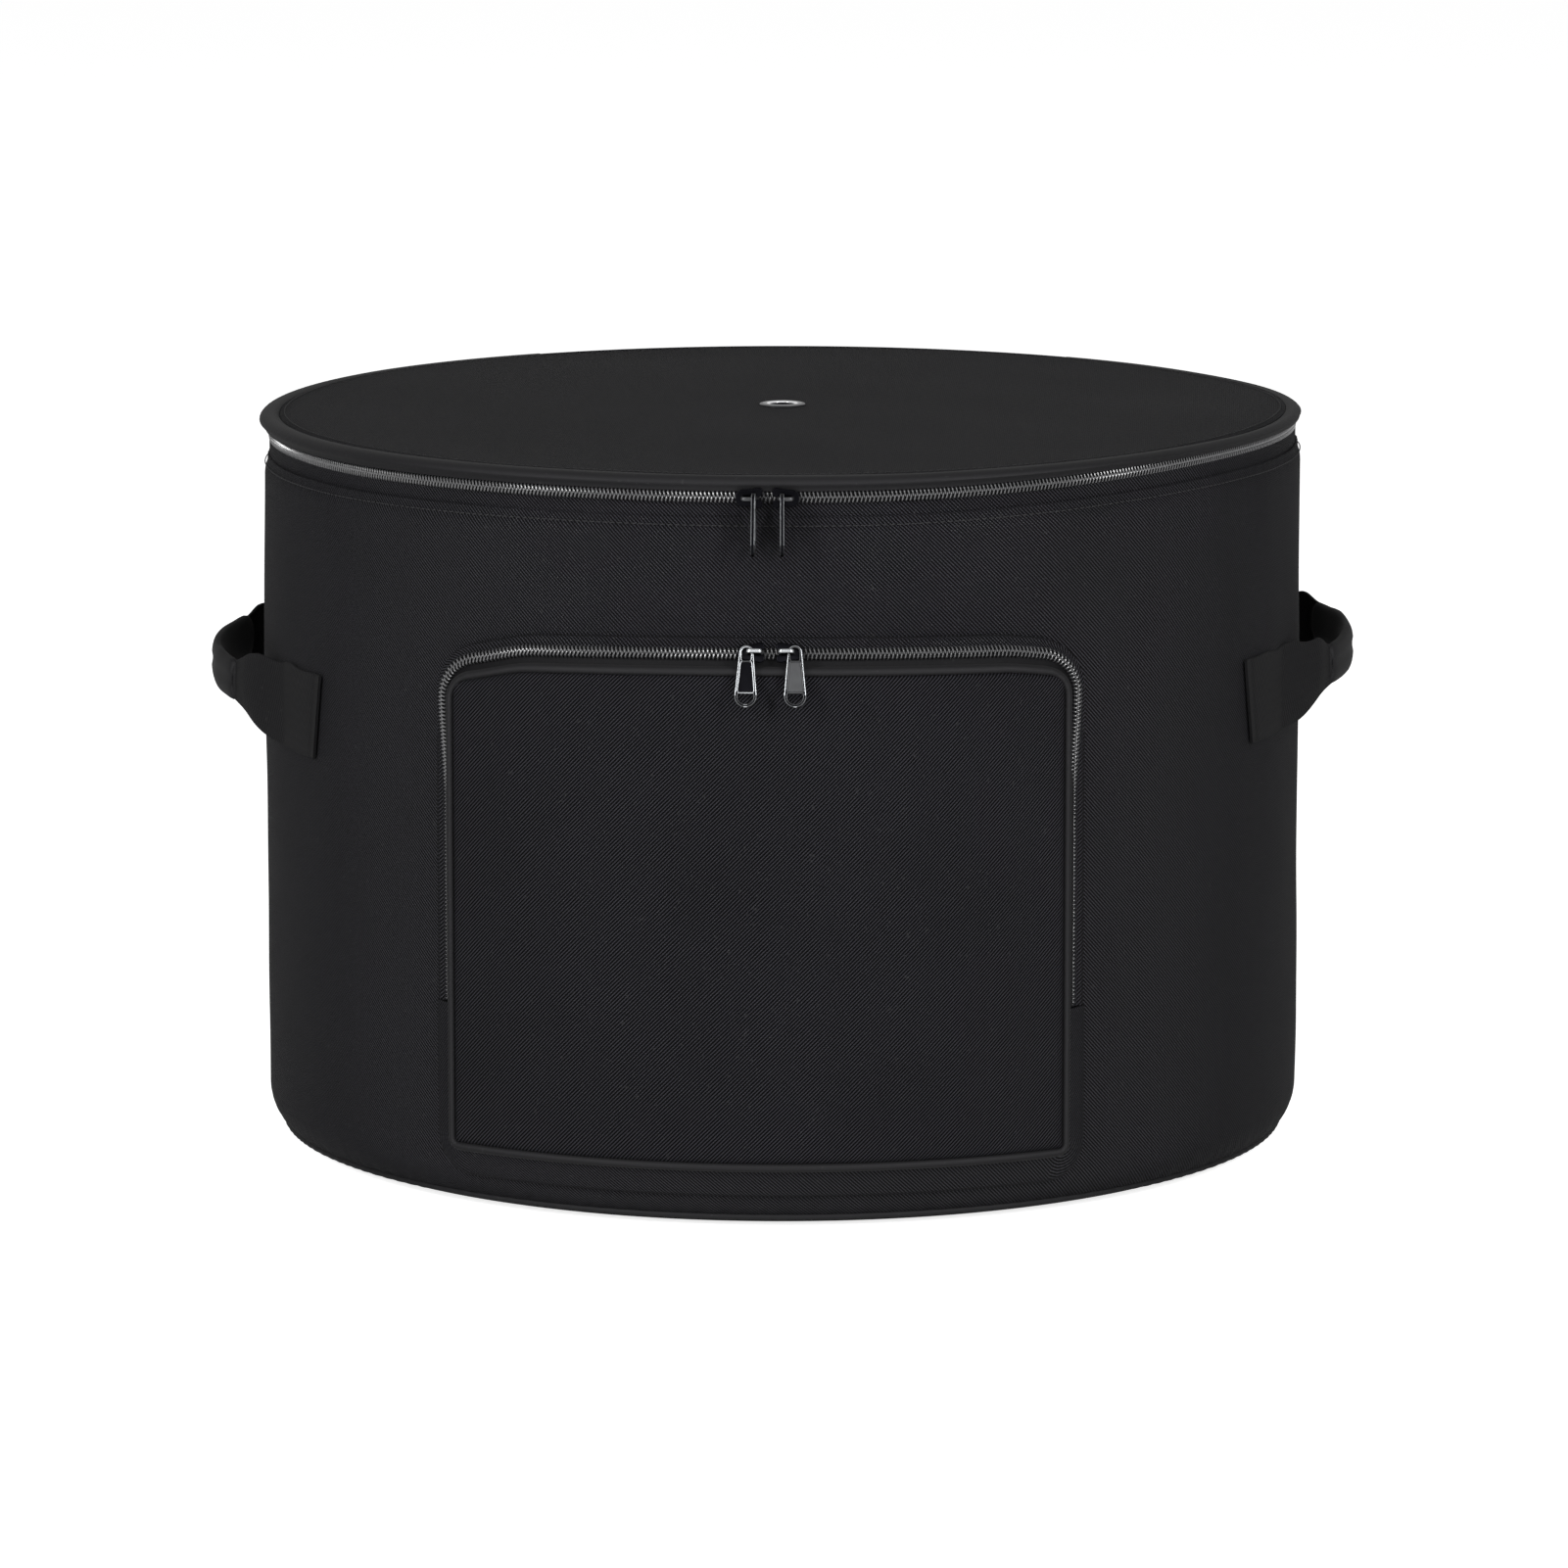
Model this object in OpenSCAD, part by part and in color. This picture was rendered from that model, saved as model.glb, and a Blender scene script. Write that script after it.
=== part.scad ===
// Round storage bag for a coiled hose: a stiff cloth drum with a zipped lid, a zipped pocket on the front
// and a webbing handle on each side. Millimetres, Z up, the front of the bag towards -Y.
// The origin is the centre of the flat base, on the surface that the bag stands on.

/* [Drum] */
// Outside diameter of the wall
drum_d = 500; // [440:10:600]
// Height from the floor to the top of the lid's edge
drum_h = 350; // [300:2:420]
// Thickness of the laminated cloth of the wall, base and lid
cloth_t = 2.4; // [1.8:0.1:3]
// Radius of the rolled lower edge
base_edge_r = 22; // [18:1:30]
// Angle down the rolled edge at which the base is sewn to the wall
base_seam_angle = 50; // [40:1:60]
// Radius of the welt cord in the base seam
base_welt_r = 1.6; // [1:0.1:2]
// Half the angle of the plain strip at the back that the lid hangs from
back_half_angle = 33; // [25:1:45]
// Width of the bound seam allowances inside
binding_w = 9; // [6:1:12]
// Thickness of a bound seam allowance
binding_t = 2; // [1.4:0.1:3]

/* [Lid] */
// How far the middle of the lid stands above its edge
lid_crown = 1; // [0:0.5:10]
// How far the lid's edge stands out past the wall
lid_overhang = 1.5; // [0:0.5:3]
// Distance from the edge of the lid in to the seam of its top panel
lid_seam_inset = 9; // [8:1:16]

/* [Eyelet] */
// Clear hole through the eyelet
eyelet_bore_d = 12; // [8:0.5:16]
// Outside diameter of the eyelet's flange
eyelet_flange_d = 22; // [18:0.5:28]
// Wall of the eyelet's barrel
eyelet_wall = 0.8; // [0.6:0.1:1.2]
// Height of the flange above the cloth
eyelet_flange_h = 1.3; // [0.8:0.1:2]

/* [Zips] */
// Width of the closed chain, over both rows of teeth
chain_w = 5.6; // [4.6:0.1:7]
// Slot between the two rows, where the neck of a slider runs
chain_slot = 1.2; // [1:0.1:1.6]
// How far the teeth stand off the tape
coil_t = 2.3; // [1.6:0.1:3]
// Thickness of the zip tape
tape_t = 0.9; // [0.6:0.1:1.2]
// Width of one half of the lid zip's tape
tape_w = 15; // [12:0.5:18]
// Distance between the teeth of a row
tooth_pitch = 1.9; // [1.8:0.1:4]
// Depth of the gaps between the teeth
tooth_h = 0.8; // [0.4:0.1:1.2]
// Height of tape left showing on the lid's side of the chain's middle
tape_show = 5.6; // [5.2:0.1:7]
// Height of tape left showing on the wall's side of the chain's middle
wall_tape_show = 9.5; // [5.2:0.1:12]
// Distance from the top of the lid's edge down to the middle of the lid zip
lid_zip_drop = 9.5; // [9.5:0.5:18]
// Turn of the place where the lid's sliders meet, from the front
lid_meet_angle = 1; // [-10:0.5:10]
// Gap from the middle of each lid slider to where they meet
lid_slider_gap = 9.5; // [7:0.5:14]

/* [Sliders and pulls] */
// Length of a slider
slider_len = 12; // [10:0.5:14]
// Width of a slider's nose
slider_w = 9.8; // [9:0.1:11]
// Thickness of a slider's shields
shield_t = 1.3; // [1:0.1:1.6]
// Free height under the crown
crown_gap = 2.9; // [2.7:0.1:3.5]
// Distance between the middles of the crown's posts
crown_span = 6.3; // [5.4:0.1:7]
// Length of a pull
pull_len = 29; // [22:1:36]
// Width of a pull at its free end
pull_w = 10.3; // [8:0.1:12]
// Width of a pull at the crown
pull_neck_w = 6.6; // [6.2:0.1:7]
// Thickness of a pull
pull_t = 1.8; // [1.2:0.1:2]
// Depth of the sunk panel in each face of a pull
pull_recess = 0.4; // [0.2:0.1:0.5]

/* [Pocket] */
// Width of the pocket along the wall
pocket_w = 318; // [240:2:360]
// Height of the pocket's top seam above the floor
pocket_top = 278; // [220:1:290]
// Height of the pocket's bottom seam above the floor
pocket_bottom = 18; // [17:1:40]
// Height of the fold where the zip ends and the front falls open
pocket_fold = 98; // [80:1:140]
// Depth of the pocket, from the wall to its front face
pocket_depth = 11.5; // [11:0.5:14]
// Thickness of the pocket's cloth
pocket_cloth_t = 2; // [1.4:0.1:2.4]
// Radius of the pocket's top corners
pocket_corner_r = 25; // [20:1:40]
// Radius of the pocket's bottom corners
pocket_low_corner_r = 18; // [17:1:30]
// Slope of the zip strip between the wall and the front of the pocket
strip_slope = 22; // [18:1:24]
// Turn of the place where the pocket's sliders meet, from the front
pocket_meet_angle = 1.45; // [-10:0.05:10]
// Gap from the middle of each pocket slider to where they meet
pocket_slider_gap = 7.8; // [6.5:0.1:14]

/* [Handles] */
// Width of the handle webbing
handle_w = 38; // [25:1:50]
// Thickness of the handle webbing
handle_t = 1.8; // [1.4:0.1:2.6]
// Height of the middle of the handles
handle_z = 222; // [150:1:260]
// How far a handle stands out from the wall
handle_reach = 28; // [20:1:45]
// Half the angle of a handle that is free of the wall
handle_free_angle = 19; // [14:1:24]
// Half the angle between a handle's sewn ends
handle_end_angle = 28; // [22:1:32]
// Turn of both handles from the sides, as they are sewn on
handle_turn = 3; // [-6:0.5:6]
// Height of the grip, where the webbing is folded lengthwise
grip_h = 20; // [14:1:30]
// Thickness of the folded webbing at the grip
grip_t = 4.6; // [3:0.2:6]
// Half the angle of the grip
grip_half_angle = 9; // [6:1:12]

/* [Hidden] */
$fn = 48;
fit = 0.3;          // running gap between layers of cloth and between neighbours
seat = 0.4;         // gap between the teeth and the shields of a slider
hang = 0.35;        // gap between a pull and the slider that it hangs on
drum_r = drum_d / 2;
wall_in_r = drum_r - cloth_t;
edge_c = [drum_r - base_edge_r, base_edge_r];           // centre of the rolled edge, as radius and height
welt_half_angle = (base_welt_r + fit) / base_edge_r * 180 / PI;
front_half_angle = 180 - back_half_angle;
seam_gap_angle = fit / drum_r * 180 / PI;
zip_z = drum_h - lid_zip_drop;
tape_r = wall_in_r - fit - tape_t;                      // inner face of the lid zip's tape
coil_w = (chain_w - chain_slot) / 2;
coil_base = tape_t + fit;                               // underside of the teeth above the tape's back
coil_top = coil_base + coil_t;
shield_base = coil_top + seat;
shield_top = shield_base + shield_t;
bar_t = 1.2;                                            // thickness of the crown's bar
bar_w = 1.8;                                            // width of the crown's bar and posts
post_w = 1.6;
lid_edge_r = drum_r + lid_overhang;
lid_seam_r = lid_edge_r - lid_seam_inset;
lid_under = drum_h - cloth_t;                           // underside of the lid at its edge
rim_r = lid_zip_drop - tape_show;                       // radius of the lid's rounded edge
rim_under_z = drum_h - rim_r                            // underside of that edge over the tape
    + sqrt(pow(rim_r - cloth_t, 2) - pow(tape_r + tape_t + fit / 2 + rim_r - drum_r, 2));
lid_top_z = drum_h + lid_crown;                         // top of the lid at the middle
lid_flat_r = eyelet_flange_d / 2 + 4;                   // flat patch that the eyelet is set in
barrel_r = eyelet_bore_d / 2 + eyelet_wall;
back_top_z = drum_h - 4;                                // top edge of the back strip, under the fold
fold_low = pocket_fold - fit;
fold_high = pocket_fold + fit;
pocket_front_r = drum_r + pocket_depth;
pocket_half_w = pocket_w / 2;
strip_r = drum_r + 0.5;                                 // back of the zip strip where it meets the wall
strip_mid = 7.7;                                        // from the wall seam to the middle of the chain
strip_w = 2 * strip_mid;
pocket_top_z = min(pocket_top, drum_h - 72);             // top seam of the pocket, clear of the lid's pulls
strip_mid_z = pocket_top_z - strip_mid * cos(strip_slope);
strip_mid_r = strip_r + strip_mid * sin(strip_slope);
welt_w = 3.8;                                           // width of the folded edge of the pocket's front
welt_in = strip_at([strip_w, 0])[0] - 2.2;              // where that folded edge starts
panel_in = welt_in + welt_w + fit;                      // where the flat of the pocket's front starts
chain_len = 2 * (pocket_top_z - pocket_corner_r - fold_high + (pocket_corner_r - strip_mid) * PI / 2
    + pocket_half_w - pocket_corner_r);                 // along the middle of the pocket's chain
corner_steps = 6;
run_steps = 24;
lid_slider_angle = lid_slider_gap / drum_r * 180 / PI;
pocket_slider_angle = pocket_slider_gap / strip_mid_r * 180 / PI;
handle_in_r = drum_r + fit;
handle_steps = 26;

cloth = [0.16, 0.16, 0.17];
coating = [0.11, 0.11, 0.12];
tape_tone = [0.09, 0.09, 0.1];
teeth = [0.24, 0.24, 0.25];
webbing = [0.13, 0.13, 0.14];
gunmetal = [0.3, 0.31, 0.33];
nickel = [0.75, 0.75, 0.76];

// ---- helpers -------------------------------------------------------------------------------------------

// A point at a radius, a turn from the front in degrees, and a height
function on_drum(r, turn, z) = [r * sin(turn), -r * cos(turn), z];

// A point in plan at a radius and a turn from the front
function flat_on_drum(r, turn) = [r * sin(turn), -r * cos(turn)];

// Turn in degrees of a distance along the wall, and the distance of a turn
function turn_of(along) = along / drum_r * 180 / PI;
function turn_length(turn) = turn * PI / 180 * drum_r;

// A point of the sloped zip strip, from [distance from the wall seam, height off its back] to [inset, radius]
function strip_at(p) = [
    p[0] * cos(strip_slope) - p[1] * sin(strip_slope),
    strip_r + p[0] * sin(strip_slope) + p[1] * cos(strip_slope)];

// The pocket's outline at an inset from its seam, as points of [distance along the wall, height]:
// up one side, round the corners of radius c and back down; up is 1 for the arch and -1 for the cup
function outline(inset, c, z_edge, z_open, up) = concat(
    [[inset - pocket_half_w, z_open]],
    [for (k = [0:corner_steps]) let (t = 180 - 90 * k / corner_steps)
        [c - pocket_half_w + (c - inset) * cos(t), z_edge - up * (c - (c - inset) * sin(t))]],
    [for (k = [1:run_steps - 1])
        [(pocket_half_w - c) * (2 * k / run_steps - 1), z_edge - up * inset]],
    [for (k = [0:corner_steps]) let (t = 90 - 90 * k / corner_steps)
        [pocket_half_w - c + (c - inset) * cos(t), z_edge - up * (c - (c - inset) * sin(t))]],
    [[pocket_half_w - inset, z_open]]);

function arch(inset) = outline(inset, pocket_corner_r, pocket_top_z, fold_high, 1);
function cup(inset) = outline(inset, pocket_low_corner_r, pocket_bottom, fold_low, -1);

// Rings of a section of [inset, radius] points along the arch or the cup
function rings_along(section, paths) = [for (i = [0:len(paths[0]) - 1])
    [for (k = [0:len(section) - 1])
        on_drum(section[k][1], turn_of(paths[k][i][0]), paths[k][i][1])]];
function arch_rings(section) = rings_along(section, [for (p = section) arch(p[0])]);
function cup_rings(section) = rings_along(section, [for (p = section) cup(p[0])]);

function reversed(list) = [for (i = [len(list) - 1:-1:0]) list[i]];

// A solid through a list of rings with the same number of points
module loft(rings) {
    n = len(rings[0]);
    last = (len(rings) - 1) * n;
    polyhedron(
        points = [for (ring = rings) each ring],
        faces = concat(
            [[for (j = [0:n - 1]) j]],
            [for (i = [0:len(rings) - 2], j = [0:n - 1]) let (a = i * n + j, b = i * n + (j + 1) % n)
                each [[a, a + n, b], [b, a + n, b + n]]],
            [[for (j = [n - 1:-1:0]) last + j]]));
}

// Part of a ring round the drum's axis, from one turn to another, of a profile of radius and height
module swept(from, to) {
    rotate([0, 0, from - 90])
        rotate_extrude(angle = to - from, $fn = 180)
            children();
}

// A band with a rectangular section
module band(r_in, r_out, z_low, z_high, from, to) {
    swept(from, to)
        translate([r_in, z_low])
            square([r_out - r_in, z_high - z_low]);
}

// Profile of the rolled lower edge between two angles down from its side
module rolled_edge(from, to) {
    reach = 2 * base_edge_r;
    translate(edge_c)
        intersection() {
            difference() {
                circle(r = base_edge_r, $fn = 96);
                circle(r = base_edge_r - cloth_t, $fn = 96);
            }
            polygon([[0, 0], [reach * cos(from), -reach * sin(from)],
                [reach * cos((from + to) / 2), -reach * sin((from + to) / 2)], [reach * cos(to), -reach * sin(to)]]);
        }
}

// Puts a child that is drawn flat, with the chain along X and the outside up, on a chain round the drum
module on_chain(turn, r, z, slope = 0) {
    rotate([0, 0, turn])
        translate([0, -r, z])
            rotate([90 - slope, 0, 0])
                children();
}

// ---- drum ----------------------------------------------------------------------------------------------

// Profile of the wall up to a height, with the upper part of the rolled edge
module wall_profile(z_high) {
    translate([wall_in_r, base_edge_r])
        square([cloth_t, z_high - base_edge_r]);
    rolled_edge(0, base_seam_angle - welt_half_angle);
}

module wall_front() {
    color(cloth)
        swept(-front_half_angle + seam_gap_angle, front_half_angle - seam_gap_angle)
            wall_profile(zip_z - wall_tape_show);
}

module wall_back() {
    color(cloth)
        swept(front_half_angle + seam_gap_angle, 360 - front_half_angle - seam_gap_angle)
            wall_profile(back_top_z);
}

module base_panel() {
    color(cloth)
        rotate_extrude($fn = 180) {
            square([edge_c[0], cloth_t]);
            rolled_edge(base_seam_angle + welt_half_angle, 90);
        }
}

module base_welt() {
    across = base_edge_r + 0.2;
    color(tape_tone)
        rotate_extrude($fn = 180)
            translate([edge_c[0] + across * cos(base_seam_angle), edge_c[1] - across * sin(base_seam_angle)])
                circle(r = base_welt_r, $fn = 24);
}

// The bound allowance of the base seam, standing into the bag
module base_binding() {
    color(coating)
        rotate_extrude($fn = 180)
            translate(edge_c)
                rotate(-base_seam_angle)
                    translate([base_edge_r - cloth_t - fit - binding_w, -binding_t / 2])
                        square([binding_w, binding_t]);
}

// The bound seam between the wall and the plain strip at the back
module back_binding(turn) {
    z_low = base_edge_r + 4;
    color(coating)
        rotate([0, 0, turn])
            translate([-binding_t / 2, -(wall_in_r - fit), z_low])
                cube([binding_t, binding_w, zip_z - tape_w - fit - z_low]);
}

module back_binding_left() back_binding(-front_half_angle);
module back_binding_right() back_binding(front_half_angle);

// ---- lid zip -------------------------------------------------------------------------------------------

// Half of the lid zip's tape; side is -1 on the wall and 1 on the lid
module lid_tape(side, w) {
    z_mid = zip_z + side * chain_slot / 2;
    color(tape_tone)
        band(tape_r, tape_r + tape_t, min(z_mid, z_mid + side * w), max(z_mid, z_mid + side * w),
            -front_half_angle + 4 * seam_gap_angle, front_half_angle - 4 * seam_gap_angle);
}

// One row of the lid zip's teeth: a ring with teeth round its outside, half a tooth further on above the slot
module lid_coil(side) {
    half_turn = front_half_angle - 3;
    count = floor(2 * turn_length(half_turn) / tooth_pitch);
    step = 2 * half_turn / count;
    first = -half_turn + (side > 0 ? 0 : step / 2);
    last = 2 * count - 2;
    color(teeth)
        translate([0, 0, zip_z + (side > 0 ? chain_slot / 2 : -chain_slot / 2 - coil_w)])
            linear_extrude(coil_w)
                polygon(concat(
                    [for (k = [0:last])
                        flat_on_drum(tape_r + coil_top - ((k + 1) % 2) * tooth_h, first + k * step / 2)],
                    [for (k = [180:-1:0])
                        flat_on_drum(tape_r + coil_base, first + last * step / 2 * k / 180)]));
}

module zip_tape_wall() lid_tape(-1, tape_w);
module zip_coil_wall() lid_coil(-1);
module zip_tape_lid() lid_tape(1, rim_under_z - 2 * fit - zip_z - chain_slot / 2);
module zip_coil_lid() lid_coil(1);

// ---- lid -----------------------------------------------------------------------------------------------

// Height of the lid's top face at a radius: flat round the eyelet, then falling to the seam
function lid_top_at(r) = drum_h + lid_crown
    * (r < lid_flat_r ? 1 : (1 + cos(180 * (r - lid_flat_r) / (lid_seam_r - lid_flat_r))) / 2);

module lid_panel() {
    bore_r = barrel_r + fit;
    out_r = lid_seam_r - fit / 2;
    radii = concat([bore_r], [for (k = [0:14]) lid_flat_r + (out_r - lid_flat_r) * k / 14]);
    color(cloth)
        rotate_extrude($fn = 180)
            polygon(concat(
                [for (r = radii) [r, lid_top_at(r)]],
                [for (r = reversed(radii)) [r, lid_top_at(r) - cloth_t]]));
}

// The strip that turns over the lid's edge and is sewn to the upper half of the zip, doubled at the zip
module lid_rim() {
    flat = lid_edge_r - rim_r - lid_seam_r - fit / 2;
    color(cloth)
        swept(-front_half_angle + seam_gap_angle, front_half_angle - seam_gap_angle)
            translate([lid_edge_r - rim_r, drum_h - rim_r])
                difference() {
                    union() {
                        intersection() {
                            circle(r = rim_r, $fn = 64);
                            square(rim_r);
                        }
                        translate([-flat, 0])
                            square([flat, rim_r]);
                    }
                    translate([-lid_overhang, 0])
                        circle(r = rim_r - cloth_t, $fn = 64);
                    translate([-flat - 1, -1])
                        square([flat + 1 - lid_overhang, rim_r - cloth_t + 1]);
                }
}

// The top of the plain strip at the back, folded over and sewn to the lid
module lid_back_strip() {
    color(cloth)
        band(lid_seam_r + fit / 2, drum_r - 0.4, lid_under, drum_h,
            front_half_angle + seam_gap_angle, 360 - front_half_angle - seam_gap_angle);
}

// The bound allowance of the lid's seam, hanging inside
module lid_binding() {
    color(coating)
        rotate_extrude($fn = 180)
            translate([lid_seam_r - binding_t - 1, lid_under - fit - binding_w])
                square([binding_t, binding_w]);
}

module eyelet() {
    flange_r = eyelet_flange_d / 2;
    round_r = eyelet_flange_h / 2;
    color(nickel)
        rotate_extrude($fn = 96) {
            translate([eyelet_bore_d / 2, lid_top_z - cloth_t - 1.2])
                square([eyelet_wall, cloth_t + 1.2 + round_r]);
            translate([eyelet_bore_d / 2 + round_r, lid_top_z])
                square([flange_r - eyelet_bore_d / 2 - 2 * round_r, eyelet_flange_h]);
            translate([flange_r - round_r, lid_top_z + round_r])
                circle(r = round_r, $fn = 24);
            translate([eyelet_bore_d / 2 + round_r, lid_top_z + round_r])
                circle(r = round_r, $fn = 24);
        }
}

module eyelet_washer() {
    color(nickel)
        rotate_extrude($fn = 96)
            translate([barrel_r + fit, lid_top_z - cloth_t - 1.2])
                square([eyelet_flange_d / 2 - barrel_r - fit, 1.2]);
}

// ---- sliders and pulls ---------------------------------------------------------------------------------

// Outline of a shield: a wide nose with its mouth at +X, a narrower tail at -X
module shield_outline() {
    half = slider_len / 2;
    nose = slider_w / 2;
    tail = nose - 0.9;
    offset(r = 0.5, $fn = 16)
        offset(delta = -0.5)
            polygon([[-half, -tail], [half * 0.1, -tail], [half * 0.7, -nose], [half, -nose * 0.85],
                [half, -1.5], [half * 0.6, 0], [half, 1.5], [half, nose * 0.85], [half * 0.7, nose],
                [half * 0.1, tail], [-half, tail]]);
}

// A slider on its chain, drawn flat with its nose at +X; the back shield is cut short over the half of the
// chain that lifts away
module slider(back_reach) {
    half = slider_len / 2;
    lip_in = chain_w / 2 + fit;
    neck_w = chain_slot - 2 * fit;
    crown_out = crown_span / 2 + post_w / 2;
    color(gunmetal) {
        translate([0, 0, shield_base])
            linear_extrude(shield_t)
                shield_outline();
        translate([0, 0, -seat - shield_t + 0.2])
            linear_extrude(shield_t - 0.2)
                intersection() {
                    shield_outline();
                    translate([-half, -slider_w / 2])
                        square([slider_len, slider_w / 2 + back_reach]);
                }
        translate([half * 0.1, -neck_w / 2, -seat - 0.1])
            cube([half * 0.4, neck_w, shield_base + seat + 0.2]);
        translate([-half + 0.5, -slider_w / 2 + 0.9, coil_base + 0.1])
            cube([half * 1.1 - 0.5, slider_w / 2 - 0.9 - lip_in, shield_base - coil_base]);
        translate([0, bar_w / 2, 0])
            rotate([90, 0, 0])
                linear_extrude(bar_w)
                    difference() {
                        union() {
                            translate([-crown_out, shield_top - 0.1])
                                square([2 * crown_out, crown_gap + 0.1]);
                            translate([-crown_out + bar_t, shield_top])
                                square([2 * (crown_out - bar_t), crown_gap + bar_t]);
                            for (side = [-1, 1])
                                translate([side * (crown_out - bar_t), shield_top + crown_gap])
                                    circle(r = bar_t, $fn = 24);
                        }
                        translate([-crown_span / 2 + post_w / 2, shield_top - 1])
                            square([crown_span - post_w, crown_gap + 1]);
                    }
    }
}

// Outline of a pull that hangs along -Y from the middle of its round top
module pull_outline(inset) {
    top = pull_neck_w / 2;
    low = pull_w / 2;
    drop = pull_len - top - low;
    hull() {
        circle(r = top - inset, $fn = 32);
        translate([0, -drop])
            circle(r = low - inset, $fn = 32);
    }
}

// A tapered pull plate with a window for the crown, a sunk panel in each face and a round hole at its end
module pull() {
    top = pull_neck_w / 2;
    window_w = pull_neck_w - 3;
    window_len = 5.2;
    drop = pull_len - top - pull_w / 2;
    color(gunmetal)
        translate([0, 0, -pull_t / 2])
            difference() {
                linear_extrude(pull_t)
                    difference() {
                        pull_outline(0);
                        hull() {
                            translate([0, top - 1.5 - window_w / 2])
                                circle(r = window_w / 2, $fn = 24);
                            translate([-window_w / 2, top - 1.5 - window_len])
                                square([window_w, 1]);
                        }
                        translate([0, -drop - 0.4])
                            circle(r = 2.3, $fn = 24);
                    }
                for (z = [-1, pull_t - pull_recess])
                    translate([0, 0, z])
                        linear_extrude(1 + pull_recess)
                            intersection() {
                                pull_outline(1.2);
                                translate([-pull_w / 2, -drop + 2.6])
                                    square([pull_w, drop - window_len - 2.6 + top - 1.5 - 1]);
                            }
            }
}

// Lid sliders face each other nose to nose; side is -1 on the left and 1 on the right
module lid_slider(side) {
    on_chain(lid_meet_angle + side * lid_slider_angle, tape_r, zip_z)
        mirror([side > 0 ? 1 : 0, 0, 0])
            slider(slider_w / 2);
}

// A lid pull hangs on edge from the bar, with its inner edge upright beside the wall
module lid_pull(side) {
    lean = asin((pull_w - pull_neck_w) / 2 / (pull_len - pull_neck_w / 2 - pull_w / 2));
    drop = bar_w / 2 + hang - (pull_neck_w / 2 - 1.5);
    on_chain(lid_meet_angle + side * lid_slider_angle, tape_r, zip_z)
        translate([0, drop, shield_top + hang + pull_neck_w / 2 + 0.1])
            rotate([-lean, 0, 0])
                rotate([0, 90, 0])
                    pull();
}

module lid_slider_left() lid_slider(-1);
module lid_slider_right() lid_slider(1);
module lid_pull_left() lid_pull(-1);
module lid_pull_right() lid_pull(1);

module pocket_slider(side) {
    on_chain(pocket_meet_angle + side * pocket_slider_angle, strip_mid_r, strip_mid_z, strip_slope)
        mirror([side > 0 ? 1 : 0, 0, 0])
            slider(chain_slot / 2 - fit);
}

// A pocket pull lies face out, with the outer post of the crown through its window
module pocket_pull(side) {
    on_chain(pocket_meet_angle + side * pocket_slider_angle, strip_mid_r, strip_mid_z, strip_slope)
        translate([side * crown_span / 2, bar_w / 2 + 0.5 - (pull_neck_w / 2 - 1.5),
            shield_top + hang + pull_t / 2])
            pull();
}

module pocket_slider_left() pocket_slider(-1);
module pocket_slider_right() pocket_slider(1);
module pocket_pull_left() pocket_pull(-1);
module pocket_pull_right() pocket_pull(1);

// ---- pocket --------------------------------------------------------------------------------------------

// Section of one half of the zip strip's tape, between two distances from the wall seam
function tape_section(from, to) = [for (p = [[from, 0], [to, 0], [to, tape_t], [from, tape_t]]) strip_at(p)];

// A point of the arch at an inset, at a distance along the middle of the chain from its left end
function arch_at(inset, s) = let (
        rise = pocket_top_z - pocket_corner_r - fold_high,
        bend = pocket_corner_r - strip_mid,
        low = rise + bend * PI / 2,
        t = 180 - (s - rise) / bend * 180 / PI)
    s > chain_len / 2 ? let (p = arch_at(inset, chain_len - s)) [-p[0], p[1]]
    : s < rise ? [inset - pocket_half_w, fold_high + s]
    : s < low ? [pocket_corner_r - pocket_half_w + (pocket_corner_r - inset) * cos(t),
        pocket_top_z - pocket_corner_r + (pocket_corner_r - inset) * sin(t)]
    : [s - low + pocket_corner_r - pocket_half_w, pocket_top_z - inset];

// One row of the pocket zip's teeth: a strip whose top goes up and down from tooth to tooth
module pocket_coil(from, shift) {
    count = floor(chain_len / tooth_pitch);
    color(teeth)
        loft(reversed([for (k = [0:2 * count])
            let (s = chain_len * k / (2 * count), high = coil_top - ((k + shift) % 2) * tooth_h)
            [for (p = [[from, coil_base], [from + coil_w, coil_base], [from + coil_w, high], [from, high]])
                let (q = strip_at(p), at = arch_at(q[0], s))
                on_drum(q[1], turn_of(at[0]), at[1])]]));
}

// Section of the folded edge round the front of the pocket, clear of the tape that it is sewn to
function welt_section() = [
    [welt_in, strip_at([welt_in / cos(strip_slope), tape_t])[1] + fit + 0.2],
    [welt_in + welt_w, strip_at([strip_w, tape_t])[1] + fit + 0.2],
    [welt_in + welt_w, pocket_front_r],
    [welt_in + 0.7 * welt_w, pocket_front_r],
    [welt_in + 0.3 * welt_w, pocket_front_r - 0.9],
    [welt_in, pocket_front_r - 2.2]];

// Rings of the flat of the front, from its edge to the fold
function front_rings(path, z_open) = [for (i = [1:len(path) - 2]) [
    on_drum(pocket_front_r, turn_of(path[i][0]), path[i][1]),
    on_drum(pocket_front_r, turn_of(path[i][0]), z_open),
    on_drum(pocket_front_r - pocket_cloth_t, turn_of(path[i][0]), z_open),
    on_drum(pocket_front_r - pocket_cloth_t, turn_of(path[i][0]), path[i][1])]];

module pocket_flap() {
    color(cloth)
        loft(front_rings(arch(panel_in), fold_high));
}

module pocket_pouch() {
    color(cloth)
        loft(reversed(front_rings(cup(panel_in), fold_low)));
}

module pocket_flap_welt() {
    color(cloth)
        loft(reversed(arch_rings(welt_section())));
}

module pocket_pouch_welt() {
    color(cloth)
        loft(cup_rings(welt_section()));
}

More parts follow.
